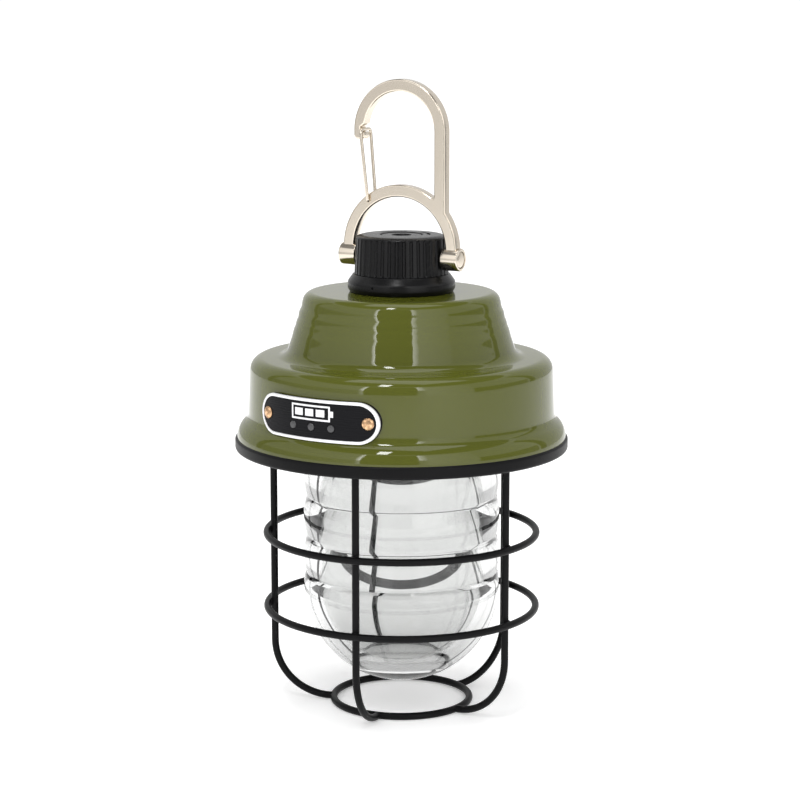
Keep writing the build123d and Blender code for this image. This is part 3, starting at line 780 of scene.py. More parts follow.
class LANTERN_OT_cage(bpy.types.Operator):
    """Build the rim, the hoops, the foot ring, the five uprights and their welds"""

    bl_idname = "lantern.cage"
    bl_label = "Cage"

    def execute(self, context):
        sizes = settings()
        wire, hoop, foot = sizes.wire / MM, sizes.hoop / MM, sizes.foot / MM
        rim = rounded([
            (RIM_OUT, RIM_BOTTOM, 0.9), (RIM_OUT, RIM_TOP, 0.7), (RIM_IN, RIM_TOP, 0.2),
            (RIM_IN, WEB_TOP, 0.2), (WEB_HOLE, WEB_TOP, 0.3), (WEB_HOLE, WEB_BOTTOM, 0.3),
            (RIM_IN, WEB_BOTTOM, 0.2), (RIM_IN, RIM_BOTTOM, 0.2),
        ])
        finished(lathe("rim", rim, 288), "lamp", "black_wire", ["rim_ring"])
        for name, node, radius, height in (
            ("upper_hoop", "hoop_upper", hoop, HOOP_HEIGHTS[0]),
            ("lower_hoop", "hoop_lower", hoop, HOOP_HEIGHTS[1]),
            ("foot_ring_wire", "foot_ring", foot, wire),
        ):
            ring = add_mesh(name, *tube(circle(radius, height), wire, closed=True))
            finished(ring, "lamp", "black_wire", [node])
        corners = [(0, -UPRIGHT_AT, WEB_BOTTOM), (0, -UPRIGHT_AT, wire), (0, -foot, wire)]
        for index in range(UPRIGHTS):
            path = rounded_path(corners, [UPRIGHT_BEND], 3.0)
            bar = add_mesh(f"upright_{index + 1}", *turned(tube(path, wire), upright_angle(index)))
            finished(bar, "lamp", "black_wire", [f"cage_upright_{index + 1}"])
        self.welds(wire, hoop, foot)
        self.screws()
        return {"FINISHED"}

    def welds(self, wire, hoop, foot):
        """Beads where the uprights meet the hoops and the foot ring, and flared fillets under the web."""
        flare = [(0, 1.5), (0.12, 0.8), (0.38, 0.25), (0.8, -0.05)]
        line = [(wire + spread, WEB_BOTTOM - drop) for spread, drop in flare]
        fillet = spin([(0, line[0][1]), *line, (0, line[-1][1])], 28)
        between = (UPRIGHT_AT + hoop) / 2
        welds = [bead((0, -between, height), (1.25, 0.62, 1.2)) for height in HOOP_HEIGHTS]
        welds.append(bead((0, -foot - wire * 0.9, wire), (1.3, 0.8, 0.92)))
        welds.append(moved(fillet, (0, -UPRIGHT_AT, 0)))
        parts = [turned(weld, upright_angle(index)) for index in range(UPRIGHTS) for weld in welds]
        finished(add_mesh("cage_welds", *joined(parts), sharp=60.0), "lamp", "black_wire", [])

    def screws(self):
        """Pan head screws with a cross recess, up through the web between the uprights."""
        line = rounded([
            (0, 72.88, 0), (2.0, 72.98, 0.3), (2.1, WEB_BOTTOM, 0), (0.9, WEB_BOTTOM, 0),
            (0.9, SCREW_TIP, 0.2), (0, SCREW_TIP, 0),
        ], closed=False)
        screw = spin([(0, 73.45), (1.0, 73.35), (1.05, 72.92), *line[1:]], 40, shape=cross_recess)
        places = [upright_angle(index) + math.pi / UPRIGHTS for index in range(UPRIGHTS)]
        parts = [turned(moved(screw, (0, -SCREW_CIRCLE, 0)), angle) for angle in places]
        finished(add_mesh("rim_screws_pan", *joined(parts), sharp=40.0), "lamp", "steel", ["rim_screws"])


def cross_recess(radius, height, angle):
    """Pulls the small recess of a screw head into a cross."""
    if radius > RECESS_REACH or height > RECESS_TOP:
        return radius
    return radius * (0.62 + 0.38 * abs(math.cos(2 * angle)) ** 1.5)


# ---- dome and light -----------------------------------------------------------------
DOME_Z = 34.1
FLANGE_BOTTOM = 75.7
DECK_BOTTOM = 77.0
FLANGE_OUT = 30.5
BOWL_FLOOR = 14.0
BAND_HEIGHT = 11.2
BAND_SAG = 0.85                     # how far a groove lies inside the widest part of its band
BAND_STEPS = 16
GROOVES = [DOME_Z + 3.0 + BAND_HEIGHT * i for i in range(4)]


class LANTERN_OT_dome(bpy.types.Operator):
    """Build the clear dome with its moulded bands and bowl"""

    bl_idname = "lantern.dome"
    bl_label = "Clear dome"

    def execute(self, context):
        outer_r, inner_r = settings().dome / MM, settings().bore / MM
        outside = arc((0, DOME_Z), outer_r, -90, 0, 3.0)
        low = DOME_Z
        for high in (*GROOVES, FLANGE_BOTTOM):
            widest = DOME_Z if low == DOME_Z else (low + high) / 2
            for i in range(1, BAND_STEPS + 1):
                z = low + (high - low) * i / BAND_STEPS
                outside.append((outer_r - BAND_SAG * ((z - widest) / (BAND_HEIGHT / 2)) ** 2, z))
            low = high
        outside += [(FLANGE_OUT, FLANGE_BOTTOM), (FLANGE_OUT, DECK_BOTTOM)]
        edge = math.degrees(math.asin((BOWL_FLOOR - DOME_Z) / inner_r))
        inside = arc((0, DOME_Z), inner_r, 0, edge + 2.0, 3.0)
        floor_r = inner_r * math.cos(math.radians(edge))
        profile = [(0.0, outside[0][1])] + outside[1:] + [(inner_r, DECK_BOTTOM)] + inside
        profile += [(floor_r - 0.25, BOWL_FLOOR + 0.05), (floor_r - 0.9, BOWL_FLOOR), (0.0, BOWL_FLOOR)]
        finished(lathe("dome", profile, closed=False, sharp=34.0), "lamp", "clear_acrylic", ["lens"])
        return {"FINISHED"}


# ---- badge --------------------------------------------------------------------------
BADGE_Z = 87.05
BADGE_FACE = 43.4
BADGE_FLOOR = BADGE_FACE - 0.2      # the black face, sunk inside the bright border
BADGE_BACK = 41.55
BADGE_BORDER = 0.8
BADGE_HALF = BADGE_FACE * math.sin(38.9 / 2 / BADGE_FACE)
BADGE_HALF_HEIGHT = 11.15 / 2
PIN_TURN = math.radians(21.65)
PIN_FOOT = 39.8
PIN_SHANK = 0.9
PIN_DOME = [
    (1.68, 0), (1.7, 0.12), (1.6, 0.3), (1.38, 0.48), (1.05, 0.60), (0.68, 0.68), (0.34, 0.72), (0, 0.73),
]
DOT_TURN = math.radians(8.0)
DOT_Z = 85.2
DOT_HOLE = 1.15
DOTS = (-1, 0, 1)


def on_band(x, z, radius):
    """A flat place on the badge carried on to the round band."""
    return (x, -math.sqrt(radius * radius - x * x), z)


def badge_ring(inset, radius):
    """One outline of the badge at an inset from its edge, on the band at a radius."""
    high = max(BADGE_HALF_HEIGHT - inset, 0.0)
    flat = BADGE_HALF - BADGE_HALF_HEIGHT
    points = [(-flat + 2 * flat * i / 40, -high) for i in range(40)]
    points += arc((flat, 0), high, -90, 90, 7.5)[:-1]
    points += [(flat - 2 * flat * i / 40, high) for i in range(40)]
    points += arc((-flat, 0), high, 90, 270, 7.5)[:-1]
    return [on_band(x, BADGE_Z + z, radius) for x, z in points]


def band_block(x0, x1, z0, z1, low, high):
    """A thin curved block on the badge between two radii."""
    steps = max(2, int(abs(x1 - x0) / 0.3))
    rings = []
    for i in range(steps + 1):
        x = x0 + (x1 - x0) * i / steps
        rings.append([on_band(x, z0, low), on_band(x, z0, high), on_band(x, z1, high), on_band(x, z1, low)])
    return stacked(rings, closed=False, capped=True)


class LANTERN_OT_badge(bpy.types.Operator):
    """Build the riveted badge with its border, charge picture, lights and pins"""

    bl_idname = "lantern.badge"
    bl_label = "Badge"

    def execute(self, context):
        fills = (1.6, 2.6, 3.6, 4.6, BADGE_HALF_HEIGHT)
        rings = [badge_ring(inset, BADGE_BACK) for inset in reversed((0.05, *fills))]
        rings += [badge_ring(0.05, BADGE_FLOOR - 0.12), badge_ring(0.15, BADGE_FLOOR)]
        rings += [badge_ring(inset, BADGE_FLOOR) for inset in fills]
        plate = add_mesh("badge_face", *turned(stacked(rings, closed=False), SHELL_TURN))
        cut(plate, [
            add_mesh("dot_cutter", *rod_tool(DOT_HOLE, 42.2, 46.0, SHELL_TURN + side * DOT_TURN, DOT_Z))
            for side in DOTS
        ])
        finished(plate, "lamp", "badge_black", ["badge_plate"])
        section = [
            (0.0, BADGE_FLOOR - 0.3), (0.0, BADGE_FACE - 0.12), (0.06, BADGE_FACE - 0.03), (0.16, BADGE_FACE),
            (BADGE_BORDER - 0.12, BADGE_FACE), (BADGE_BORDER - 0.03, BADGE_FACE - 0.03),
            (BADGE_BORDER, BADGE_FACE - 0.1), (BADGE_BORDER, BADGE_FLOOR - 0.3),
        ]
        border = stacked([badge_ring(inset, radius) for inset, radius in section])
        edge = add_mesh("badge_border", *turned(border, SHELL_TURN))
        finished(edge, "lamp", "nickel", ["badge_plate"], "bright_border")
        self.picture()
        self.lights()
        self.pins()
        return {"FINISHED"}

    def picture(self):
        """A plain battery outline with three bars above the lights."""
        left, right, bottom, top, line = -6.4, 5.8, 86.95, 91.05, 0.48
        blocks = [
            (left, right, bottom, bottom + line), (left, right, top - line, top),
            (left, left + line, bottom + line, top - line), (right - line, right, bottom + line, top - line),
            (right, right + 0.9, 88.2, 89.8),
        ]
        blocks += [(left + 1.15 + 3.4 * i, left + 3.75 + 3.4 * i, bottom + 1.1, top - 1.1) for i in range(3)]
        parts = [band_block(*block, BADGE_FLOOR - 0.05, BADGE_FLOOR + 0.05) for block in blocks]
        sign = add_mesh("badge_picture", *turned(joined(parts), SHELL_TURN))
        finished(sign, "lamp", "nickel", ["badge_plate"], "bright_border")

    def lights(self):
        """The three smoked charge lights."""
        line = rounded([(0, 36.0, 0), (1.0, 36.0, 0), (1.0, 43.45, 0.25), (0, 43.55, 0)], closed=False)
        parts = [outward(spin(line, 40), SHELL_TURN + side * DOT_TURN, DOT_Z) for side in DOTS]
        finished(add_mesh("charge_lights", *joined(parts)), "lamp", "light_pipe", ["indicator_lenses"])

    def pins(self):
        """The two hammered pins."""
        line = [(0, PIN_FOOT), (PIN_SHANK, PIN_FOOT), (PIN_SHANK, BADGE_FLOOR)]
        line = finer(line + [(radius, BADGE_FLOOR + rise) for radius, rise in PIN_DOME], 0.12)
        pin = spin(line, 64, shape=beaten)
        parts = [outward(pin, SHELL_TURN + side * PIN_TURN, BADGE_Z) for side in SIDES]
        pins = add_mesh("badge_pins_copper", *joined(parts), sharp=50.0)
        finished(pins, "lamp", "copper_pin", ["badge_pins"])


def beaten(radius, height, angle):
    """The uneven, hammered head of a badge pin."""
    if height < BADGE_FLOOR + 0.2:
        return radius
    spot = Vector((radius * math.cos(angle), radius * math.sin(angle), height * 1.5)) * 1.9
    return radius * (1 - 0.10 * abs(noise.noise(spot)))


# ---- collar, cap and button ---------------------------------------------------------
COLLAR_TOP = 121.2
COLLAR_OUT = 14.75
COLLAR_SEAT = 7.6
CAP_TOP = 131.9
CAP_FOOT = 12.8
CAP_BORE = 9.8
CAP_CEILING = 128.6
FLUTES = 40
FLUTE_DEPTH = 0.42
FLUTE_SHARE = 0.46                  # half the width of a flute, as a share of half the pitch
BUTTON_HOLE = 5.85
BUTTON_R = 5.6
BUTTON_FLANGE = 7.2
BUTTON_TOP = CAP_TOP - 0.15
BUTTON_DISH = CAP_TOP - 0.9
PLUNGER_R = 1.6
PLUNGER_END = 126.2
MARK_RADII = (7.05, 7.95)


def fluted(radius, height, angle):
    """Narrow upright grooves round the cap's side."""
    if radius < 12.0 or not COLLAR_TOP + 0.35 < height < CAP_TOP - 0.9:
        return radius
    turn = (angle * FLUTES / (2 * math.pi)) % 1.0
    off = abs(turn - 0.5) / 0.5 / FLUTE_SHARE
    return radius - (FLUTE_DEPTH * math.sqrt(1 - off ** 2) if off < 1 else 0.0)


class LANTERN_OT_cap(bpy.types.Operator):
    """Build the collar, the fluted cap and the power button"""

    bl_idname = "lantern.cap"
    bl_label = "Cap and button"

    def execute(self, context):
        collar = rounded([
            (SHELL_HOLE, PLATEAU, 0), (14.1, PLATEAU, 0.3), (COLLAR_OUT, PLATEAU + 1.1, 1.2),
            (COLLAR_OUT, PLATEAU + 2.9, 1.6), (13.3, COLLAR_TOP, 0.4), (COLLAR_SEAT, COLLAR_TOP, 0),
            (COLLAR_SEAT, COLLAR_TOP - 1.5, 0), (SHELL_HOLE, COLLAR_TOP - 1.5, 0),
        ], step=6.0)
        ring = lathe("collar_ring", collar, 192)
        mark = rod_tool(0.35, 14.35, 16.0, math.radians(-3.5), PLATEAU + 2.2, 24)
        cut(ring, [add_mesh("mark_cutter", *mark)])
        finished(ring, "lamp", "black_plastic", ["collar"])
        side = finer([(12.9, COLLAR_TOP + 0.1), (12.44, CAP_TOP - 1.0)], 0.3)
        shoulder = [
            (12.40, 0.78), (12.28, 0.55), (12.05, 0.38), (11.2, 0.10), (10.9, 0.03), (10.6, 0), (7.0, 0),
            (6.15, 0), (5.98, 0.05), (BUTTON_HOLE, 0.2),
        ]
        cap = [(CAP_BORE, COLLAR_TOP), (CAP_FOOT, COLLAR_TOP), *side]
        cap += [(radius, CAP_TOP - drop) for radius, drop in shoulder]
        cap += [(BUTTON_HOLE, CAP_CEILING), (CAP_BORE, CAP_CEILING)]
        fluted_cap = lathe("cap", cap, FLUTES * 20, sharp=38.0, shape=fluted)
        cut(fluted_cap, [self.marks()], sharp=38.0)
        finished(fluted_cap, "lamp", "black_plastic", ["fluted_cap"])
        self.button()
        return {"FINISHED"}

    def marks(self):
        """A cutter for the two sunk arcs round the button."""
        low, high = CAP_TOP - 0.3, CAP_TOP + 0.5
        parts = []
        for start in (105, 197):
            rings = []
            for i in range(25):
                t = math.radians(start + 58 * i / 24)
                inner, outer = [(r * math.sin(t), -r * math.cos(t)) for r in MARK_RADII]
                rings.append([(*inner, low), (*outer, low), (*outer, high), (*inner, high)])
            parts.append(stacked(rings, closed=False, capped=True))
        return add_mesh("arc_cutter", *joined(parts))

    def button(self):
        """The dished power button with its flange under the cap."""
        flange_top, flange_bottom = CAP_CEILING - 0.1, CAP_CEILING - 1.3
        line = rounded([
            (0, flange_bottom, 0), (BUTTON_FLANGE, flange_bottom, 0.1), (BUTTON_FLANGE, flange_top, 0.1),
            (BUTTON_R, flange_top, 0), (BUTTON_R, BUTTON_TOP, 0.35), (2.8, BUTTON_TOP, 0.15),
            (2.5, BUTTON_DISH, 0.25), (0, BUTTON_DISH, 0),
        ], closed=False, step=12.0)
        stem = [(0, PLUNGER_END), (PLUNGER_R, PLUNGER_END), (PLUNGER_R, flange_bottom)]
        knob = lathe("button", stem + line[1:], 128, closed=False)
        finished(knob, "button", "black_plastic", ["power_button"])


# ---- bail ---------------------------------------------------------------------------
PIVOT_Z = 125.8
ARCH_Z = 128.0
ARCH_OUT = 17.45
HOOK_Z = 159.93
HOOK_OUT = 14.0
HALF_THICK = 1.65
BOSS_R = 3.1
BOSS_IN = 13.2
BOSS_OUT = 18.3
BOSS_BORE = 1.3
COUNTERBORE = 2.3
COUNTERBORE_END = BOSS_OUT - 1.4
JOIN_TURN = 4.5                     # degrees of the arch taken up by the soft corner at the spine
NOSE_LOW = 157.4
NOSE_HIGH = 159.2
NOTCH_LOW = 158.9
NOTCH_X = -11.85
GATE_FOOT = (-9.3, 140.75)
GATE_TOP = (-11.2, 160.1)


def bail_outline(width):
    """Outline of the bail in its own plane, counterclockwise from the right leg."""
    arch_in, hook_in = ARCH_OUT - width, HOOK_OUT - width
    outer_turn = math.degrees(math.acos(HOOK_OUT / ARCH_OUT))
    inner_turn = math.degrees(math.acos(hook_in / ARCH_OUT))
    notch = [(-hook_in, 159.42), (NOTCH_X, 159.5), (NOTCH_X, 160.7)]
    line = [(ARCH_OUT, PIVOT_Z)] + arc((0, ARCH_Z), ARCH_OUT, 0, outer_turn)
    line += arc((0, HOOK_Z), HOOK_OUT, 0, 180)
    nose = rounded([
        (-HOOK_OUT, NOSE_HIGH, 0), (-HOOK_OUT, NOSE_LOW, 1.2), (-hook_in, NOSE_LOW, 1.2),
        (-hook_in, NOTCH_LOW, 0),
    ], closed=False)
    line += [point for point in nose if point[1] <= NOTCH_LOW] + notch
    line += arc((0, HOOK_Z), hook_in, 170.3, 0)
    join = (hook_in, ARCH_Z + math.sqrt(ARCH_OUT ** 2 - hook_in ** 2))
    line += join_fillet(join, inner_turn)
    line += arc((0, ARCH_Z), ARCH_OUT, inner_turn + JOIN_TURN, 180)
    line += [(-ARCH_OUT, PIVOT_Z), (-arch_in, PIVOT_Z)]
    line += arc((0, ARCH_Z), arch_in, 180, 0) + [(arch_in, PIVOT_Z)]
    return line


def join_fillet(join, turn):
    """Soft inner corner where the spine leaves the arch."""
    x, z = join
    later = math.radians(turn + JOIN_TURN)
    end = (ARCH_OUT * math.cos(later), ARCH_Z + ARCH_OUT * math.sin(later))
    start = (x, z + 1.4)
    steps = 8
    return [
        tuple((1 - t) ** 2 * start[a] + 2 * t * (1 - t) * (x, z)[a] + t * t * end[a] for a in (0, 1))
        for t in (i / steps for i in range(steps))
    ]


def shrunk(points, inset):
    """A counterclockwise outline moved into its material by an inset."""
    count = len(points)
    moved_points = []
    for i, (x, y) in enumerate(points):
        back = Vector((x, y)) - Vector(points[i - 1])
        ahead = Vector(points[(i + 1) % count]) - Vector((x, y))
        first = Vector((-back.y, back.x)).normalized()
        second = Vector((-ahead.y, ahead.x)).normalized()
        way = (first + second).normalized()
        stretch = 1 / max(0.5, way.dot(first))
        moved_points.append((x + way.x * inset * stretch, y + way.y * inset * stretch))
    return moved_points


def spaced(points, least=0.02):
    """The outline without points that coincide."""
    kept = []
    for point in points:
        if not kept or math.dist(point, kept[-1]) > least:
            kept.append(point)
    if math.dist(kept[0], kept[-1]) <= least:
        kept.pop()
    return kept


def on_pivot(part, side):
    """A part built along Z, laid along the bail's pivot to one side."""
    return moved(turned(part, side * QUARTER, "Y"), (0, 0, PIVOT_Z))


class LANTERN_OT_bail(bpy.types.Operator):
    """Build the die-cast bail, its pivot screws and the wire gate"""

    bl_idname = "lantern.bail"
    bl_label = "Bail and gate"

    def execute(self, context):
        sizes = settings()
        edge = sizes.bail_edge / MM
        line = spaced(bail_outline(sizes.bail_width / MM))
        steps = [math.radians(15 * i) for i in range(7)]
        levels = [(edge + 0.05, -HALF_THICK)]
        levels += [(edge * (1 - math.sin(t)), -HALF_THICK + edge * (1 - math.cos(t))) for t in steps]
        levels += [(inset, -depth) for inset, depth in reversed(levels)]
        rings = [[(x, depth, z) for x, z in shrunk(line, inset)] for inset, depth in levels]
        bail = add_mesh("bail_casting", *stacked(rings, closed=False, capped=True), sharp=35.0)
        ring = spin(rounded([
            (BOSS_BORE, BOSS_IN, 0.15), (BOSS_R, BOSS_IN, 0.3), (BOSS_R, BOSS_OUT, 0.35),
            (COUNTERBORE, BOSS_OUT, 0.15), (COUNTERBORE, COUNTERBORE_END, 0), (BOSS_BORE, COUNTERBORE_END, 0),
        ], step=15.0), 96, closed=True)
        low, high = BOSS_IN + 0.3, BOSS_OUT + 1
        plug = spin([(0, low), (2.0, low), (2.0, high), (0, high)], 64)
        bores, bosses = [], []
        for side in SIDES:
            bores.append(add_mesh("boss_bore", *on_pivot(plug, side)))
            bosses.append(add_mesh("boss", *on_pivot(ring, side)))
        cut(bail, bores, sharp=35.0)
        cut(bail, bosses, "UNION", sharp=35.0)
        finished(bail, "bail", "nickel", ["bail"])
        self.screws()
        self.gate(sizes.gate_wire / MM)
        return {"FINISHED"}

    def screws(self):
        """Shoulder pins with a plain, slightly domed head."""
        line = [
            (0, 9.8), (1.1, 9.8), (1.25, 10.0), (1.25, 17.0), (2.1, 17.0), (2.18, 17.1), (2.18, 17.9),
            (2.12, 18.1), (1.95, 18.2), (1.6, 18.24), (0.8, 18.27), (0, 18.28),
        ]
        parts = [on_pivot(spin(line, 96), side) for side in SIDES]
        finished(add_mesh("pivot_screws", *joined(parts)), "lamp", "nickel", ["pivot_pins"])

    def gate(self, radius):
        """The sprung wire loop that closes the hook."""
        (foot_x, foot_z), (top_x, top_z) = GATE_FOOT, GATE_TOP
        corners = [
            (foot_x, -0.6, foot_z), (foot_x, -2.25, foot_z), (top_x, -2.8, top_z),
            (top_x, 2.8, top_z), (foot_x, 2.25, foot_z), (foot_x, 0.6, foot_z),
        ]
        path = rounded_path(corners, [0.55, 1.1, 1.1, 0.55], 9.0)
        finished(add_mesh("gate_loop", *tube(path, radius, 24)), "gate", "nickel", ["gate_wire"])


# ---- pieces kept from the frame -----------------------------------------------------
COVER_FACE = 44.66
KEPT = {
    "silicone": ["lens_gasket"],
    "aluminium_board": ["led_board"],
    "phosphor": ["led_chips"],
    "white_plastic": ["reflector"],
    "grey_plastic": ["chassis", "battery_cradle"],
    "cell_wrap": ["battery_cell"],
    "steel": [
        "shell_brackets", "battery_contacts", "pcb_screws", "usb_port", "cover_hinge_pin", "mounting_stud",
        "stud_nut", "cap_screws",
    ],
    "board": ["main_pcb", "indicator_board", "switch_board"],
    "black_plastic": ["pcb_components", "port_bezel", "port_cover", "tact_switch", "switch_plunger"],
    "lead": ["switch_leads", "led_leads", "battery_leads"],
}


class LANTERN_OT_inside(bpy.types.Operator):
    """Dress the charging port, the battery, the boards and the other kept parts"""

    bl_idname = "lantern.inside"
    bl_label = "Inner parts"

    def execute(self, context):
        for slot, names in KEPT.items():
            for name in names:
                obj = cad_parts[name]
                obj.data.materials.clear()
                obj.data.materials.append(all_looks()[slot])
                for face in obj.data.polygons:
                    face.material_index = 0
        self.grip()
        return {"FINISHED"}

    def grip(self):
        """Fine raised ribs on the free end of the port cover."""
        root = COVER_FACE - 0.11
        parts = []
        for index in range(4):
            x = 3.2 + 1.1 * index
            reach = 2.6 - 0.35 * index
            rings = []
            for along, rise in ((-reach, 0.02), (-reach + 0.25, 0.2), (reach - 0.25, 0.2), (reach, 0.02)):
                z, top = PORT_HEIGHT + along, COVER_FACE + rise
                rings.append([
                    (x - 0.25, root, z), (x - 0.14, top, z), (x + 0.14, top, z), (x + 0.25, root, z),
                ])
            parts.append(stacked(rings, closed=False, capped=True))
        ribs = add_mesh("cover_ribs", *turned(joined(parts), SHELL_TURN))
        finished(ribs, "port_cover", "black_plastic", [])


# ---- stage --------------------------------------------------------------------------
CAMERA_TURN = 28.5
CAMERA_RISE = 10.1
CAMERA_DISTANCE = 0.648
TARGET_Z = 0.0859
FOCAL = 105.5
AXIS_SHIFT = -0.0019
FLOOR_REACH = 4000.0
FLOOR_THICK = 8.0
FLOOR_GLOW = 0.28
SKY_STRENGTH = 1.05
CEILING_HEIGHT = 1300.0
CEILING_REACH = 1150.0
CEILING_GLOW = 0.28
TOP_POWER = 3.5
KEY_POWER = 2.2
KEY_TURN = -17.0
KEY_RISE = 56.0
PANEL_DISTANCE = 1.15
PANEL_STEPS = 24
PANELS = [
    # name, first and last turn from the camera in degrees, bottom and top in metres, glow at both sides
    ("right_softbox", 18.0, 54.0, 0.0, 1.15, 1.9, 1.25),
    ("right_edge_low", 12.0, 18.0, 0.0, 0.42, 1.3, 1.6),
    ("right_edge_high", 12.0, 18.0, 0.42, 1.15, 7.0, 2.6),
    ("left_softbox_low", -110.0, -31.5, 0.0, 0.35, 0.35, 1.0),
    ("left_softbox_high", -110.0, -31.5, 0.35, 1.15, 0.75, 1.45),
    ("left_edge_low", -31.5, -28.0, 0.0, 0.35, 1.5, 3.5),
    ("left_edge_high", -31.5, -28.0, 0.35, 1.15, 3.0, 11.0),
    ("middle_flag", -27.5, 11.5, 0.0, 1.15, 0.36, 0.30),
    ("right_flag", 54.5, 108.0, 0.0, 0.35, 0.30, 0.42),
    ("right_gap", 110.0, 118.0, 0.0, 1.15, 0.20, 0.30),
    ("left_gap", -118.0, -110.5, 0.0, 1.15, 0.30, 0.20),
    ("back_panel", 119.0, 241.0, 0.0, 1.15, 0.78, 0.78),
]


def direction(turn, rise):
    """The way out from the lantern at a turn from the front toward +X and a rise, both in degrees."""
    turn, rise = math.radians(turn), math.radians(rise)
    return Vector((math.sin(turn) * math.cos(rise), -math.cos(turn) * math.cos(rise), math.sin(rise)))


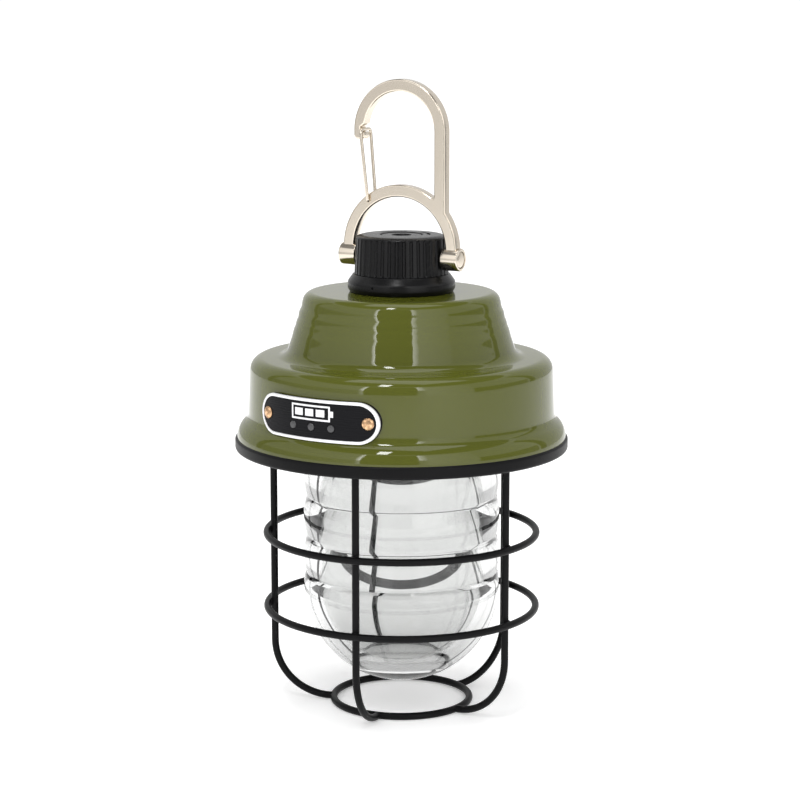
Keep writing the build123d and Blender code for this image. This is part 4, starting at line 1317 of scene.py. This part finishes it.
class LANTERN_OT_stage(bpy.types.Operator):
    """Set up the pale floor, the soft light and the camera"""

    bl_idname = "lantern.stage"
    bl_label = "Stage"

    def execute(self, context):
        scene = context.scene
        scene.view_settings.view_transform = "Standard"
        self.floor()
        self.world(scene)
        for panel in PANELS:
            self.panel(*panel)
        self.ceiling()
        self.lights()
        self.camera(scene)
        return {"FINISHED"}

    def floor(self):
        """A round pale floor."""
        slab = [(0, -FLOOR_THICK), (FLOOR_REACH, -FLOOR_THICK), (FLOOR_REACH, 0.0), (0, 0.0)]
        floor = lathe("floor", slab, 128, closed=False)
        look = Look("floor")
        tone = settings().floor
        grain = look.cloud(90.0, 4.0)
        floor.data.materials.append(look.surface(
            Base_Color=look.mix(grain, shade(tone, 0.99), shade(tone, 1.01)),
            Roughness=0.9, Specular_IOR_Level=0.1,
            Emission_Color=grey(1.0), Emission_Strength=FLOOR_GLOW,
        ))

    def world(self, scene):
        """Even white surroundings."""
        world = bpy.data.worlds.new("studio")
        scene.world = world
        world.use_nodes = True
        sky = world.node_tree.nodes["Background"]
        sky.inputs["Color"].default_value = (1.0, 1.0, 1.0, 1.0)
        sky.inputs["Strength"].default_value = SKY_STRENGTH

    def panel(self, name, start, stop, low, high, left, right):
        """A curved upright panel round the lantern that only lights and reflects."""
        verts = []
        for i in range(PANEL_STEPS + 1):
            way = direction(CAMERA_TURN + start + (stop - start) * i / PANEL_STEPS, 0.0) * PANEL_DISTANCE
            verts += [(way.x, way.y, low), (way.x, way.y, high)]
        faces = [[2 * i, 2 * i + 1, 2 * i + 3, 2 * i + 2] for i in range(PANEL_STEPS)]
        mesh = bpy.data.meshes.new(name)
        mesh.from_pydata(verts, [], faces)
        spread = mesh.attributes.new("side", "FLOAT", "POINT")
        spread.data.foreach_set("value", [i // 2 / PANEL_STEPS for i in range(len(verts))])
        obj = bpy.data.objects.new(name, mesh)
        bpy.context.scene.collection.objects.link(obj)
        look = Look(name)
        side = look.output("ShaderNodeAttribute", "Fac", {"attribute_name": "side"})
        peak = max(left, right)
        mesh.materials.append(look.glow(look.mix(side, grey(left / peak), grey(right / peak)), peak))
        obj.visible_camera = False
        obj.visible_shadow = False

    def ceiling(self):
        """A dim ceiling that only shows in glossy and clear surfaces."""
        low, high = CEILING_HEIGHT, CEILING_HEIGHT + 2.0
        line = [(0, low), (CEILING_REACH, low), (CEILING_REACH, high), (0, high)]
        plate = lathe("ceiling", line, 96, closed=False)
        look = Look("ceiling")
        drift = look.mix(look.cloud(3.0, 1.0), grey(0.79), grey(1.0))
        plate.data.materials.append(look.glow(drift, CEILING_GLOW))
        for hidden in ("visible_camera", "visible_shadow", "visible_diffuse"):
            setattr(plate, hidden, False)

    def lights(self):
        """A broad soft light above and a narrow one beside the camera, above it."""
        down = Vector((0.0, 0.0, -1.0))
        self.softbox("top_softbox", (0.9, 0.7), TOP_POWER, Vector((0.0, 0.05, 1.25)), down)
        way = direction(CAMERA_TURN + KEY_TURN, KEY_RISE)
        self.softbox("key_strip", (0.12, 0.30), KEY_POWER, Vector((0.0, 0.0, 0.1)) + way * 1.1, -way)

    def softbox(self, name, size, power, place, aim):
        """A soft rectangular light that shines along a direction."""
        light = bpy.data.lights.new(name, "AREA")
        light.shape = "RECTANGLE"
        light.size, light.size_y = size
        light.energy = power
        box = bpy.data.objects.new(name, light)
        box.location = place
        box.rotation_mode = "QUATERNION"
        box.rotation_quaternion = aim.to_track_quat("-Z", "Y")
        box.visible_camera = False
        bpy.context.scene.collection.objects.link(box)

    def camera(self, scene):
        """The camera at the lantern's usual three-quarter side."""
        back = direction(CAMERA_TURN, CAMERA_RISE)
        data = bpy.data.cameras.new("camera")
        data.lens = FOCAL
        data.sensor_width = 36.0
        data.shift_x = AXIS_SHIFT
        data.clip_end = 20.0
        eye = bpy.data.objects.new("camera", data)
        eye.location = Vector((0.0, 0.0, TARGET_Z)) + back * CAMERA_DISTANCE
        eye.rotation_mode = "QUATERNION"
        eye.rotation_quaternion = (-back).to_track_quat("-Z", "Y")
        scene.collection.objects.link(eye)
        scene.camera = eye


# ---- panel and registration ---------------------------------------------------------
OPERATORS = (
    LANTERN_OT_housing,
    LANTERN_OT_cage,
    LANTERN_OT_dome,
    LANTERN_OT_badge,
    LANTERN_OT_cap,
    LANTERN_OT_bail,
    LANTERN_OT_inside,
    LANTERN_OT_stage,
)


class LANTERN_PT_panel(bpy.types.Panel):
    """Sidebar panel with the lantern's settings and its pieces"""

    bl_idname = "LANTERN_PT_panel"
    bl_label = "Camping Lantern"
    bl_space_type = "VIEW_3D"
    bl_region_type = "UI"
    bl_category = "Lantern"

    def draw(self, context):
        column = self.layout.column()
        for name in LanternSettings.__annotations__:
            column.prop(context.scene.lantern, name)
        for operator in OPERATORS:
            column.operator(operator.bl_idname)


def register():
    bpy.utils.register_class(LanternSettings)
    for operator in OPERATORS:
        bpy.utils.register_class(operator)
    bpy.utils.register_class(LANTERN_PT_panel)
    bpy.types.Scene.lantern = bpy.props.PointerProperty(type=LanternSettings)


def unregister():
    del bpy.types.Scene.lantern
    bpy.utils.unregister_class(LANTERN_PT_panel)
    for operator in reversed(OPERATORS):
        bpy.utils.unregister_class(operator)
    bpy.utils.unregister_class(LanternSettings)


def main():
    """Register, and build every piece."""
    register()
    bpy.ops.lantern.housing()
    bpy.ops.lantern.cage()
    bpy.ops.lantern.dome()
    bpy.ops.lantern.badge()
    bpy.ops.lantern.cap()
    bpy.ops.lantern.bail()
    bpy.ops.lantern.inside()
    bpy.ops.lantern.stage()


if __name__ == "__main__":
    main()
